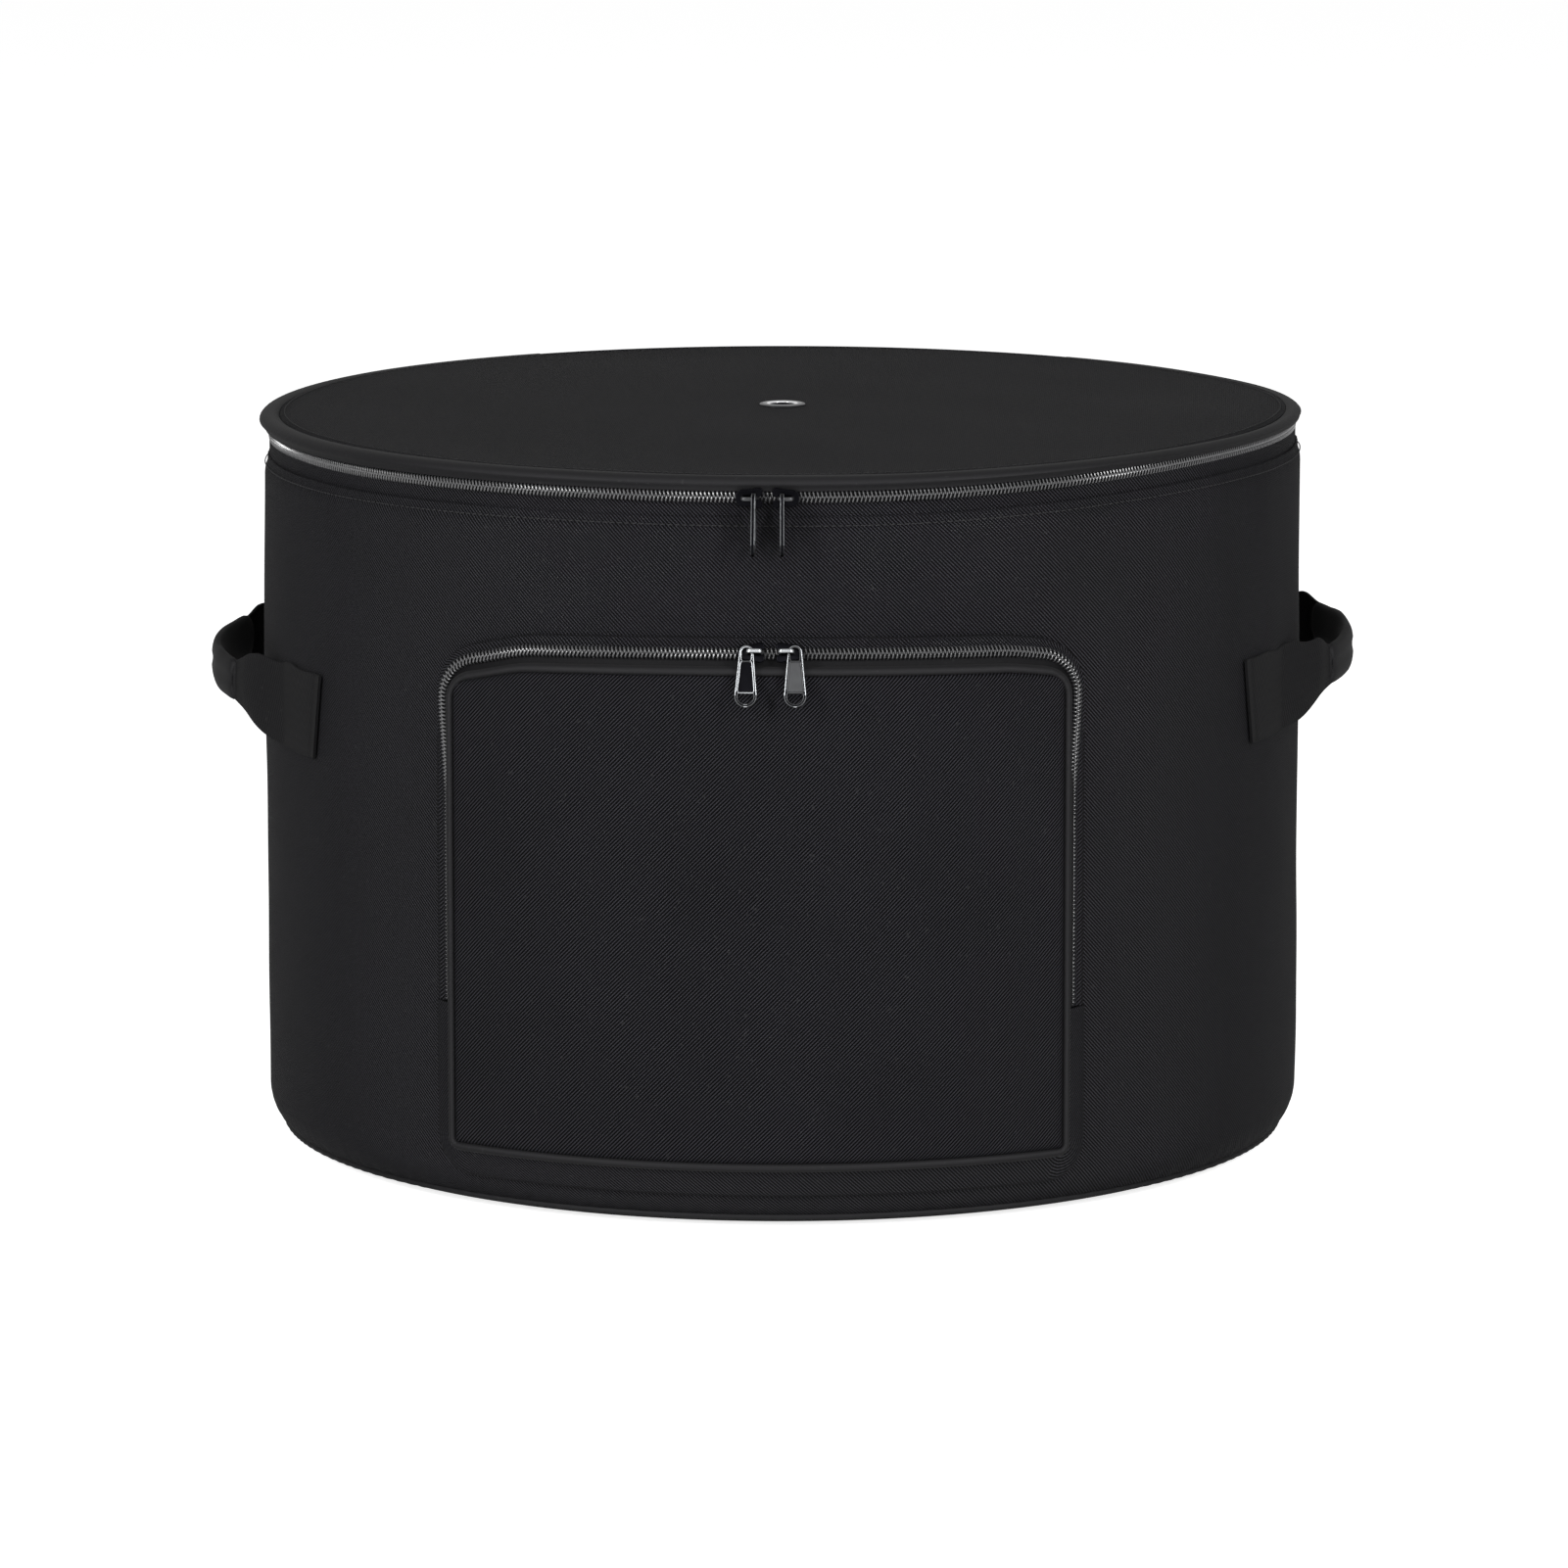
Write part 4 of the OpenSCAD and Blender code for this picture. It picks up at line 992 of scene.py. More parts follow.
def make_pocket_front():
    """The pocket's front in one piece over the fold, its edge turned back into the seam."""
    z_low, z_high = POCKET_LOW + PANEL_IN, POCKET_TOP - PANEL_IN
    corner = np.array([0.0, 0.3, 1.0, 2.2, 4.0, 6.5, 9.0])
    z = np.concatenate([z_low + corner, np.linspace(z_low + 12.0, z_high - 12.0, 92), z_high - corner[::-1]])
    share = np.linspace(-1.0, 1.0, 130)
    share = np.sign(share) * (1.0 - (1.0 - np.abs(share)) ** 1.25)
    x = share[:, None] * front_half_width(z)[None]
    z = np.broadcast_to(z[None], x.shape)
    side = POCKET_HALF - PANEL_IN - np.abs(x)
    edge = np.minimum(np.minimum(z - z_low, z_high - z), side)
    run = np.where(edge == side, z, x)
    gather = gathers(run, 8.0, 2.0 * ripples(np.stack([x, 0 * x, z], -1), 50.0, 43))
    tuck = 2.0 * np.exp(-edge / 1.0) - 0.12 * sizes().softness * gather * np.exp(-edge / 6.0)
    grid = pocket_point(x, POCKET_R + front_swell(x, z) * ease(0.0, 30.0, edge) - tuck, z)
    points, groups = sheet(grid, 2.0, look=(0, 1))
    flat = []
    for faces, _, look in groups:
        corners = points[faces]
        run = np.arctan2(corners[..., 0], -corners[..., 1]) * POCKET_R
        flat.append((faces, np.stack([run, corners[..., 2]], axis=-1), look))
    put("pocket_front_cloth", FOLD_BEND, [(points, flat)], ["Pocket twill", "Coated lining"],
        "cloth", "pocket_flap", "pocket_pouch")


def make_pocket_edge():
    """The folded edge round the pocket's front: a smooth rounded band between the zip and the panel."""
    back = POCKET_R - 4.5
    inset = WELT_IN + np.array([0.0, -0.15, 0.55, 1.6, 2.7, 3.5, 3.85, 3.8])
    radius = np.array([back - 0.4, POCKET_R - 1.9, POCKET_R - 0.75, POCKET_R - 0.10, POCKET_R - 0.10,
                       POCKET_R - 0.75, POCKET_R - 1.7, back])
    x1, z1 = along_edge(ARCH, np.linspace(0.0, edge_length(ARCH), 250)[:, None], inset)
    x2, z2 = along_edge(CUP, np.linspace(0.0, edge_length(CUP), 150)[:, None], inset)
    x = np.concatenate([x1, x2[::-1][1:-1]])
    z = np.concatenate([z1, z2[::-1][1:-1]])
    run = lengths(pocket_point(x[:, 0], POCKET_R, z[:, 0]))[:, None]
    wobble = ripples(np.stack([x, 0 * x, z], -1), 40.0, 44)
    swell = front_swell(x, z) * 0.25 + 0.12 * sizes().softness * gathers(run, 7.0, wobble)
    grid = pocket_point(x, radius + swell * ease(0, 3, np.arange(len(radius))), z)
    put("pocket_edge_cloth", FOLD_BEND, [loft(grid[:, ::-1], ring=True)], ["Edge cloth"],
        "cloth", "pocket_flap_welt", "pocket_pouch_welt")


def make_pocket_gusset():
    """The plain gusset below the zip's ends, folded at the wall."""
    s = np.linspace(0.0, edge_length(CUP), 150)
    run = np.array([-0.6, 0.0, 0.5, 1.5, 4.0, 7.7, 11.0, 14.0, 15.0])
    height = TAPE_T + np.array([-0.8, -0.2, 0.0, 0.25, 0.35, 0.35, 0.25, 0.0, -0.1])
    grid = strip_grid(CUP, s, run, height)
    grid = grid + ripples(grid, 40.0, 45)[..., None] * unit(grid * [1, 1, 0]) * 0.15
    put("pocket_gusset_cloth", "shell", [sheet(grid[:, ::-1], TAPE_T, look=(0, 0))], ["Twill cloth"],
        "cloth", "pocket_gusset")


def side_depth(z):
    """1 along the pocket's sides, where the chain lies deep between the folds, and 0 along its top."""
    return 1.0 - ease(POCKET_TOP - 75.0, POCKET_TOP - 22.0, z)


def make_pocket_zip():
    """Both halves of the pocket zip, on the sloped strip between the wall and the pocket's front."""
    total = edge_length(ARCH)
    s = np.linspace(0.4, total - 0.4, 250)
    deep = side_depth(along_edge(ARCH, s, STRIP_MID)[1])[:, None]
    for name, body, cloth, runs, node in (
            ("wall", "shell", "Twill cloth", [-0.5, 0.0, 0.8, 2.0, 2.8, 3.5, 4.2, 5.4, 6.4, 7.3],
             "pocket_tape_wall"),
            ("front", FOLD_BEND, "Zip tape", [8.1, 9.0, 10.0, 11.0, 12.0, 13.0, 14.0, 15.3],
             "pocket_tape_flap")):
        run = np.array(runs)
        off = np.abs(run - STRIP_MID)
        height = TAPE_T - 0.9 * (run < -0.1) + 0.6 * hump(run, 0.8, 0.7) + 0.10 * hump(off, 3.2, 0.4)
        grid = strip_grid(ARCH, s, run, height + 1.2 * deep * hump(off, 4.4, 1.3))
        put(f"pocket_tape_{name}_side", body, [sheet(grid[::-1], TAPE_T, look=(0, 0))], [cloth], "tape", node)
    count = int(total / (sizes().tooth_pitch / MM))
    step = total / count
    inset, radius = on_strip(STRIP_MID, TAPE_T)
    inset_out, radius_out = on_strip(STRIP_MID, TAPE_T + 1.0)
    for name, body, side, shift, node in (("wall", "shell", 1, 0.0, "pocket_coil_wall"),
                                          ("front", FOLD_BEND, -1, 0.5, "pocket_coil_flap")):
        at = (np.arange(count - 1) + 0.5 + shift) * step
        x, z = along_edge(ARCH, at, inset)
        path = pocket_point(x, radius, z)
        sunk = 2.5 * side_depth(z)[:, None]
        x, z = along_edge(ARCH, at, inset_out)
        out = unit(pocket_point(x, radius_out, z) - path)
        row = teeth_row(path - out * sunk, out, side)
        put(f"pocket_teeth_{name}_side", body, row, ["Zip teeth", "Zip tape"], "teeth", node, sharp=60.0)


# ---- handles ---------------------------------------------------------------------------------------------
HANDLE_TURN = 3.0        # degrees from straight left and right to the middles of the handles
HANDLE_FREE = 19.5       # degrees from a handle's middle to where it leaves the wall
HANDLE_END = 29.35       # and to its sewn end
HANDLE_HALF = 20.2       # half the strap's width
GRIP_HALF = 9.0          # degrees from a handle's middle to where its strap is folded
FOLDED_HALF = 9.2        # half the height of the folded strap
SLEEVE_HALF = GRIP_HALF + 0.4
SLEEVE_HIGH = 10.2       # half the sleeve's height
SLEEVE_DEEP = 3.5        # half its depth


def handle_face(place):
    """Radius of a handle's outer face, at degrees from its middle."""
    arc = np.cos(np.pi / 2.0 * np.clip(place / HANDLE_FREE, -1.0, 1.0))
    return DRUM_R + 1.5 + 25.3 * np.maximum(arc, 0.0) ** 1.2


def grip_middle(place):
    """Height of the grip's middle above the middle of the sewn ends. The grip leans, higher at the back."""
    return 9.0 - 0.45 * place


def superellipse(angle, power_x, power_y):
    """Places on a rounded box from -1 to 1: the cosine and the sine, each raised to a power below 1."""
    x, y = np.cos(angle), np.sin(angle)
    return np.sign(x) * np.abs(x) ** power_x, np.sign(y) * np.abs(y) ** power_y


def make_strap(name, middle, front, rise, seed):
    """A handle's strap, sewn flat on the wall at both ends and folded in half lengthwise towards its middle.
    Its lower edge is drawn up to the fold, and its upper edge dips from a fuller arch at the back."""
    place = np.linspace(-HANDLE_END, HANDLE_END, 170)[:, None]
    share = np.linspace(0.0, 1.0, 27)[None]
    away = np.abs(place)
    inside = 1.0 - ease(GRIP_HALF - 0.5, GRIP_HALF + 4.0, away)
    drawn = 1.0 - ease(8.0, HANDLE_FREE + 1.0, away)
    tip = ease(20.0, HANDLE_END, away)
    free = 1.0 - tip
    low = -HANDLE_HALF * (1.0 - drawn) + (grip_middle(place) - FOLDED_HALF) * drawn
    arch = HANDLE_HALF + 6.0 * hump(place, -12.0, 4.0)
    high = arch * (1.0 - inside) + (grip_middle(place) + FOLDED_HALF) * inside
    z = low + (high - low) * share
    wave = ripples(on_drum(DRUM_R, middle + front * place, z), 26.0, seed)
    curl = 0.9 * np.sin(place * 0.9 + seed) * share ** 4 + 0.6 * np.sin(place * 0.7) * (1.0 - share) ** 4
    height = HANDLE_Z + rise + z + free * (1.0 - inside) * curl
    turn = middle + front * (place + np.sign(place) * tip * 0.9 * (2.0 * share - 1.0))
    puff = drawn * (1.0 - inside) * (2.6 * np.sin(np.pi * share) - 1.2)
    radius = handle_face(place) + puff - 2.8 * inside + free * drawn * 0.45 * wave
    radius = radius + tip * wall_swell(on_drum(DRUM_R, turn, height))
    radius = radius + 0.8 * np.exp((away - HANDLE_END) / 0.35) - 0.35 * hump(away, HANDLE_END - 1.3, 0.4)
    grid = on_drum(radius, turn, height)
    along = run_at(place[:, 0], DRUM_R + 14.0)
    strap = sheet(grid[::front], 1.3, look=(0, 0), along=along, swell=0.3)
    put(f"{name}_webbing", "shell", [strap], ["Webbing"], "webbing", name)


def make_sleeve(name, middle, front, rise, seed):
    """The sleeve that is sewn round the folded strap as a grip, with the crease of its seam outside."""
    angle = 2.0 * np.pi * np.arange(30) / 30.0
    place = np.linspace(-SLEEVE_HALF, SLEEVE_HALF, 60)
    ends = np.minimum(SLEEVE_HALF - np.abs(place), 2.0)[:, None]
    soft = ripples(on_drum(DRUM_R, place, 0.0), 24.0, seed + 1)[:, None]
    puff = 1.0 - 0.22 * np.exp(-ends / 0.3) + 0.05 * soft
    out, up = superellipse(angle, 0.8, 0.85)
    crease = 0.9 * hump((angle + np.pi) % (2.0 * np.pi) - np.pi, 0.1, 0.16)
    radius = handle_face(place)[:, None] - 3.4 + SLEEVE_DEEP * puff * out - crease
    height = HANDLE_Z + rise + grip_middle(place)[:, None] + SLEEVE_HIGH * puff * up
    rings = on_drum(radius, middle + front * place[:, None], height)
    put(f"{name}_grip", "shell", [loft(rings[::front])], ["Sleeve"], "webbing", sharp=60.0)


def make_handles():
    """Both handles. FRONT is the sign of the turn towards the front of the bag, and RISE how far the cloth's
    softness lifts a handle."""
    for name, middle, front, rise, seed in (("handle_left", HANDLE_TURN - 90.0, 1, -3.5, 51),
                                            ("handle_right", HANDLE_TURN + 90.0, -1, 3.8, 61)):
        make_strap(name, middle, front, rise, seed)
        make_sleeve(name, middle, front, rise, seed)


# ---- stitching -------------------------------------------------------------------------------------------
def stitch_rings(length):
    """One stitch: a short thread that rises from the cloth, lies along it and dives back in."""
    at = np.array([-0.5, -0.36, 0.0, 0.36, 0.5]) * length
    rise = np.array([-0.15, 0.10, 0.20, 0.10, -0.15])
    thick = np.array([0.10, 0.26, 0.30, 0.26, 0.10])[:, None]
    angle = 2.0 * np.pi * np.arange(5)[None] / 5.0
    y = thick * np.cos(angle)
    z = rise[:, None] + thick * np.sin(angle) * 0.8
    return np.stack([np.broadcast_to(at[:, None], y.shape), y, z], axis=-1)


def stitched(path, out):
    """Stitches laid evenly along a path of points, flat on the cloth."""
    run = lengths(path)
    pitch = sizes().stitch_pitch / MM
    at = np.arange(pitch / 2.0, run[-1], pitch)
    spots = np.stack([np.interp(at, run, path[:, k]) for k in range(3)], axis=-1)
    outs = np.stack([np.interp(at, run, out[:, k]) for k in range(3)], axis=-1)
    way, outs = chain_frames(spots, outs)
    return scattered(stitch_rings(sizes().stitch_length / MM), spots, way, outs)


def make_stitching():
    """Rows of stitches along the wall's folded top edge and inside the lid's seam."""
    turn = front_turns(700, -1.0)
    radius = DRUM_R + wall_swell(on_drum(DRUM_R, turn, GROOVE_Z)) - 0.25
    row = stitched(on_drum(radius, turn, GROOVE_Z + zip_lift(turn)), outwards(turn))
    put("wall_stitches", "shell", [row], ["Thread"], "webbing")
    turn = np.linspace(-180.0, 180.0, 721)
    path = on_drum(LID_SEAM_R - 2.6, turn, 0.0)
    path[:, 2] = LID_Z + lid_height(path) + LID_LIFT * zip_lift(turn) + 0.02
    row = stitched(path, np.tile([0.0, 0.0, 1.0], (len(turn), 1)))
    put("lid_stitches", "lid", [row], ["Thread"], "webbing")


# ---- metal -----------------------------------------------------------------------------------------------
CHAIN_R = TAPE_R - TAPE_T                # back of the lid zip's tape
STRIP_MID_R = STRIP_R + STRIP_MID * np.sin(STRIP_SLOPE)
STRIP_MID_Z = POCKET_TOP - STRIP_MID * np.cos(STRIP_SLOPE) - ZIP_SAG
SHIELD = 3.9             # underside of a slider's front shield, above the tape's back
SHIELD_TOP = 5.2         # its upper face
CROWN_TOP = 9.3          # highest point of a crown
CROWN_HALF = 3.15        # from the middle of the crown to the middle of its posts
PULL_TOP_R = 3.3         # radius of a pull's upper round end
PULL_LOW_R = 5.15        # and of its lower one
PULL_DROP = 20.55        # between the centres of a pull's round ends
PULL_LEAN = np.arcsin((PULL_LOW_R - PULL_TOP_R) / PULL_DROP)     # slant of its sides
PULL_T = 1.8
HOLE_R = 3.55            # hole in a pull's lower end, cut straight above
HOLE_CUT = 1.25          # from its centre up to that cut
LID_MEET = 1.0           # degrees from the front to where the lid zip's two sliders meet
POCKET_MEET = 1.45       # and the pocket zip's
BORE_IN = 6.0            # radius of the eyelet's bore


def chain_place(turn, radius, z, slope):
    """A place on a chain round the drum: (origin, directions along the chain, across it and out of it)."""
    turn = np.radians(turn)
    along = np.array([np.cos(turn), np.sin(turn), 0.0])
    out = np.array([np.sin(turn) * np.cos(slope), -np.cos(turn) * np.cos(slope), np.sin(slope)])
    origin = np.array([radius * np.sin(turn), -radius * np.cos(turn), z])
    return origin, np.stack([along, np.cross(out, along), out])


def turned(solid, spot, side):
    """A solid moved to a place, and mirrored along the chain first where SIDE is 1."""
    points, groups = solid
    origin, axes = spot
    if side > 0:
        points = points * [-1.0, 1.0, 1.0]
        groups = [(faces[:, ::-1], place[:, ::-1], look) for faces, place, look in groups]
    return points @ axes + origin, groups


def from_edge(points, outline):
    """Distance of points to a closed outline."""
    start = outline[None]
    step = np.roll(outline, -1, 0)[None] - start
    share = ((points[:, None] - start) * step).sum(-1) / (step ** 2).sum(-1)
    near = start + np.clip(share, 0.0, 1.0)[..., None] * step
    return np.linalg.norm(points[:, None] - near, axis=-1).min(axis=1)


def filled_mesh(loops, thick, edge):
    """A flat mesh with rounded edges, filled by a 2-D curve: inside the first loop and outside the others."""
    curve = bpy.data.curves.new("plate", "CURVE")
    curve.dimensions = "2D"
    curve.fill_mode = "BOTH"
    curve.extrude = thick / 2.0 - edge
    curve.bevel_depth = edge
    curve.bevel_resolution = 2
    curve.offset = -edge
    for loop in loops:
        spline = curve.splines.new("POLY")
        spline.points.add(len(loop) - 1)
        corners = np.concatenate([loop, np.zeros((len(loop), 1)), np.ones((len(loop), 1))], axis=1)
        spline.points.foreach_set("co", corners.ravel())
        spline.use_cyclic_u = True
    holder = bpy.data.objects.new("plate", curve)
    mesh = bpy.data.meshes.new_from_object(holder)
    bpy.data.objects.remove(holder)
    bpy.data.curves.remove(curve)
    return mesh


def plate(outline, holes, middle, thick, edge, look=0, outer=1, inner=2):
    """A flat plate with rounded edges and openings. The rounding along its outline gets the material number
    OUTER, and that of its openings INNER."""
    mesh = filled_mesh((outline, *holes), thick, edge)
    work = bmesh.new()
    work.from_mesh(mesh)
    bpy.data.meshes.remove(mesh)
    bmesh.ops.remove_doubles(work, verts=work.verts, dist=1e-4)
    bmesh.ops.recalc_face_normals(work, faces=work.faces)
    points = np.array([vertex.co for vertex in work.verts]) + [0.0, 0.0, middle]
    centres = np.array([face.calc_center_median()[:2] for face in work.faces])
    outside = from_edge(centres, outline) < edge * 1.2
    by_size = {}
    for face, out in zip(work.faces, outside):
        rounded = 0.3 < abs(face.normal.z) < 0.97
        number = (outer if out else inner) if rounded else look
        by_size.setdefault(len(face.verts), []).append(([vertex.index for vertex in face.verts], number))
    work.free()
    groups = []
    for rows in by_size.values():
        faces = np.array([corners for corners, _ in rows])
        groups.append((faces, points[faces][..., :2], np.array([number for _, number in rows])))
    return points, groups


def arc(radius, start, end, count, middle=(0.0, 0.0)):
    """COUNT points of an arc between two angles in degrees."""
    angle = np.radians(np.linspace(start, end, count))
    return np.stack([middle[0] + radius * np.cos(angle), middle[1] + radius * np.sin(angle)], axis=-1)


def pull_outline():
    """The pull's tapered outline, from its round top down to its wider round end."""
    lean = np.degrees(PULL_LEAN)
    return np.concatenate([arc(PULL_TOP_R, lean, 180.0 - lean, 22),
                           arc(PULL_LOW_R, 180.0 - lean, 360.0 + lean, 34, (0.0, -PULL_DROP))])


def pull_part(inset, high, low, corner):
    """A tapered part of the pull inside its sides, between two heights and with rounded corners."""
    wide = (PULL_TOP_R - inset) / np.cos(PULL_LEAN)
    x_high, x_low = wide - np.array([high, low]) * np.tan(PULL_LEAN)
    return softened(np.array([[x_high, high], [-x_high, high], [-x_low, low], [x_low, low]]), corner)


def softened(corners, radius):
    """A polygon with rounded corners: three points of a small curve in the place of each corner."""
    before, after = np.roll(corners, 1, 0), np.roll(corners, -1, 0)
    start = corners + unit(before - corners) * radius
    end = corners + unit(after - corners) * radius
    middle = (start + end + 2.0 * corners) / 4.0
    return np.stack([start, middle, end], axis=1).reshape(-1, 2)


def pull_solids(dark):
    """A pull that hangs from the middle of its round top: a rounded frame with a window for the crown, a sunk
    panel behind its long opening and a round-ended hole at the bottom. Its rounded edges carry a painted
    highlight, weaker on its lower end but for its lowest point, and a DARK one is a shaded copy, with painted
    highlight on its inner edges round a panel painted dark."""
    foot = [[-2.0, -3.3], [-1.6, -3.8], [1.6, -3.8], [2.0, -3.3]]
    window = np.concatenate([arc(PULL_TOP_R - 1.2, 0.0, 180.0, 12), foot])
    opening = pull_part(1.45, -4.7, -18.3, 0.5)
    cut = np.degrees(np.arcsin(HOLE_CUT / HOLE_R))
    hole = arc(HOLE_R, 180.0 - cut, 360.0 + cut, 26, (0.0, -PULL_DROP))
    # Painted light: a DARK pull is a shaded copy, with the painted highlight on the edges of its openings
    # too.
    points, groups = plate(pull_outline(), [window, opening, hole], 0.0, PULL_T, 0.5, inner=1 if dark else 2)
    # Painted highlight: on the lower end, but for its lowest point, and near the middle between the openings,
    # the edges take the duller Panel metal, so the painted highlight is weaker there.
    for faces, _, looks in groups:
        x, y, _ = points[faces].mean(axis=1).T
        dull = (y < -18.8) & (np.abs(x) > 0.9) | (y > -18.8) & (y < -3.0) & (np.abs(x) < 1.3)
        looks[dull & (looks == 1)] = 2
    # Painted shade: a DARK pull's panel takes the dark Gunmetal of its frame in place of Panel metal.
    look = 0 if dark else 2
    panel = plate(pull_part(1.15, -4.4, -18.6, 0.4), [], 0.0, 0.9, 0.1, look=look, outer=look)
    return [(points, groups), panel]


def box_solid(low, high):
    """A box between two corners."""
    (x0, y0, z0), (x1, y1, z1) = low, high
    return loft(np.array([[[x, y0, z0], [x, y1, z0], [x, y1, z1], [x, y0, z1]] for x in (x0, x1)], float))


def shield_outline(high):
    """A slider's shield from above, cut short above HIGH: a wide nose with a notch where the chain parts, and
    a narrower tail."""
    upper = [[6.0, 1.5], [6.0, 4.1], [4.2, 4.85], [0.6, 4.0], [-4.2, 3.7], [-6.2, 2.0]]
    lower = [[x, -y] for x, y in reversed(upper)]
    corners = np.array([*upper, *lower, [3.6, 0.0]])
    corners[1:6, 1] = np.minimum(corners[1:6, 1], high)
    return softened(corners, 0.55)


def crown_solid(look):
    """A slider's crown: a bar bent over the front shield, with a rounded section."""
    angle = np.radians(np.linspace(180.0, 0.0, 27))
    foot, head = SHIELD_TOP - 0.5, CROWN_TOP - 0.65
    across, _ = superellipse(angle, 0.5, 0.5)
    height = foot + (head - foot) * np.sin(angle) ** 0.5
    path = np.stack([(CROWN_HALF + 0.1) * across, 0.0 * angle, height], axis=-1)
    way = unit(np.gradient(path, axis=0))
    out = np.cross(way, [0.0, 1.0, 0.0])
    a, b = superellipse(np.radians(np.arange(14) * 360.0 / 14.0), 0.7, 0.7)
    rings = path[:, None] + 0.62 * a[:, None] * out[:, None] + 0.95 * b[:, None] * np.array([0.0, 1.0, 0.0])
    return loft(rings if solid_volume(rings) > 0.0 else rings[:, ::-1], look=look)


def slider_solids(back_reach, shift, crown_look):
    """A slider on its chain with its nose along X: a front shield, a back shield that is cut short above
    BACK_REACH, the neck between them, the lower lip, and the crown. SHIFT moves all but the crown back along
    the chain."""
    back_out = [shift, 0.0]
    front = plate(shield_outline(9.0) - back_out, [], (SHIELD + SHIELD_TOP) / 2.0, SHIELD_TOP - SHIELD, 0.5,
                  outer=0)
    back = plate(shield_outline(back_reach) - back_out, [], -0.85, 1.1, 0.2, outer=0, inner=0)
    neck = box_solid((0.6 - shift, -0.3, -0.5), (3.0 - shift, 0.3, SHIELD + 0.2))
    lip = box_solid((-5.0 - shift, -3.9, 1.3), (0.6 - shift, -3.1, SHIELD + 0.1))
    return [front, back, neck, lip, crown_solid(crown_look)]


def put_metal(name, solids, place, side):
    """One slider or pull in plated metal with a painted highlight on its rounded edges, on the body that has
    its name.
    """
    put(f"{name}_metal", name, [turned(solid, place, side) for solid in solids],
        ["Gunmetal", "Bright edge", "Panel metal"], "gunmetal", name, weld=True, sharp=50.0)


def make_metal():
    """Sliders and pulls. Each slider sits on its chain beside the place where the two meet, RUN from there,
    and its pull hangs from the crown, HANG off the crown's middle."""
    sine, cosine = np.sin(-PULL_LEAN), np.cos(PULL_LEAN)
    edgewise = np.array([[0.0, 0.0, -1.0], [0.0, 1.0, 0.0], [1.0, 0.0, 0.0]])
    tilt = np.array([[1.0, 0.0, 0.0], [0.0, cosine, sine], [0.0, -sine, cosine]])
    for word, side, lid_run, pocket_run, lid_hang, pocket_hang in (
            ("left", -1, -6.7, -6.0, 2.2, -3.6), ("right", 1, 9.7, 8.1, -1.6, 4.0)):
        lid = chain_place(LID_MEET + np.degrees(lid_run / DRUM_R), CHAIN_R, ZIP_Z, 0.0)
        pocket = chain_place(POCKET_MEET + np.degrees(pocket_run / STRIP_MID_R), STRIP_MID_R, STRIP_MID_Z,
                             STRIP_SLOPE)
        # Painted highlight: the pocket sliders' crowns take the Bright edge, and the lid sliders' crowns the
        # duller Panel metal.
        put_metal(f"lid_slider_{word}", slider_solids(4.9, 0.0, 2), lid, side)
        put_metal(f"pocket_slider_{word}", slider_solids(0.3, 1.6, 1), pocket, side)
        for zip_name, (origin, axes), turn_it, shift in (
                ("lid", lid, edgewise @ tilt, (lid_hang, -0.55, SHIELD_TOP + 0.45 + PULL_TOP_R)),
                ("pocket", pocket, np.eye(3), (pocket_hang, -0.4, SHIELD_TOP + 0.35 + PULL_T / 2.0))):
            place = (origin + np.array(shift) @ axes, turn_it @ axes)
            # The left pulls are the shaded copies.
            put_metal(f"{zip_name}_pull_{word}", pull_solids(side < 0), place, -1)


def make_eyelet():
    """The eyelet: a low dome round its bore with a barrel through the lid, in nickel painted with
    reflections:
    duller outside, dark on top and down its bore, and its own bright nickel inside. The washer under the lid
    keeps its CAD shape."""
    low, high = span("eyelet")
    outer = high[0]
    base = high[2] - 0.9
    angle = np.radians(np.linspace(0.0, 180.0, 17))
    middle, half = (outer + BORE_IN) / 2.0, (outer - BORE_IN) / 2.0
    dome = np.stack([middle + half * np.cos(angle), base + 0.6 * np.sin(angle) ** 0.8], axis=-1)
    barrel = np.array([[BORE_IN, low[2]], [BORE_IN + 0.8, low[2]], [BORE_IN + 0.8, base + 0.3],
                       [outer - 0.7, base + 0.25]])
    profile = np.concatenate([dome, barrel])
    # Painted reflection: Panel metal on the outer side, Gunmetal on the top, down the bore and round the
    # barrel, and Nickel only on the inner side.
    looks = np.array([1] * 6 + [2] * 4 + [0] * 6 + [2] * 5)
    ring = loft(on_drum(profile[:, 0], full_turn(96)[:, None], profile[:, 1]), ring=True, look=looks)
    put("eyelet_ring", "lid", [ring], ["Nickel", "Panel metal", "Gunmetal"], "nickel", "eyelet", sharp=40.0)
    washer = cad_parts["eyelet_washer"].data
    washer.materials.clear()
    washer.materials.append(material("Nickel"))


# ---- stage -----------------------------------------------------------------------------------------------
FLOOR_LIFT = 0.75        # glow that brings the floor to white in the picture
WORLD_LEVEL = 0.25       # strength of the surroundings' light on the bag
# Name, place, width and height in metres, and watts of each lamp.
LAMPS = (
    ("front lamp", (0.0, -3.4, 1.9), (1.6, 1.0), 20.0),
    ("left lamp", (-2.2, -2.0, 1.3), (0.45, 2.2), 82.0),
    ("right lamp", (2.2, -2.0, 1.3), (0.45, 2.2), 78.0),
    ("top lamp", (0.0, 0.2, 3.0), (2.4, 1.8), 3.0),
)
LAMP_AIM = (0.0, 0.0, 0.2)
FLOOR_HALF = 9.0
FLOOR_GAP = 0.0002       # metres from the floor up to the bag
CAMERA_LENS = 191.64     # millimetres
CAMERA_TURN = 2.9        # degrees to the right of the front
CAMERA_AWAY = 4.0        # metres
CAMERA_Z = 0.863
CAMERA_AIM = (0.0008, 0.0, 0.1652)


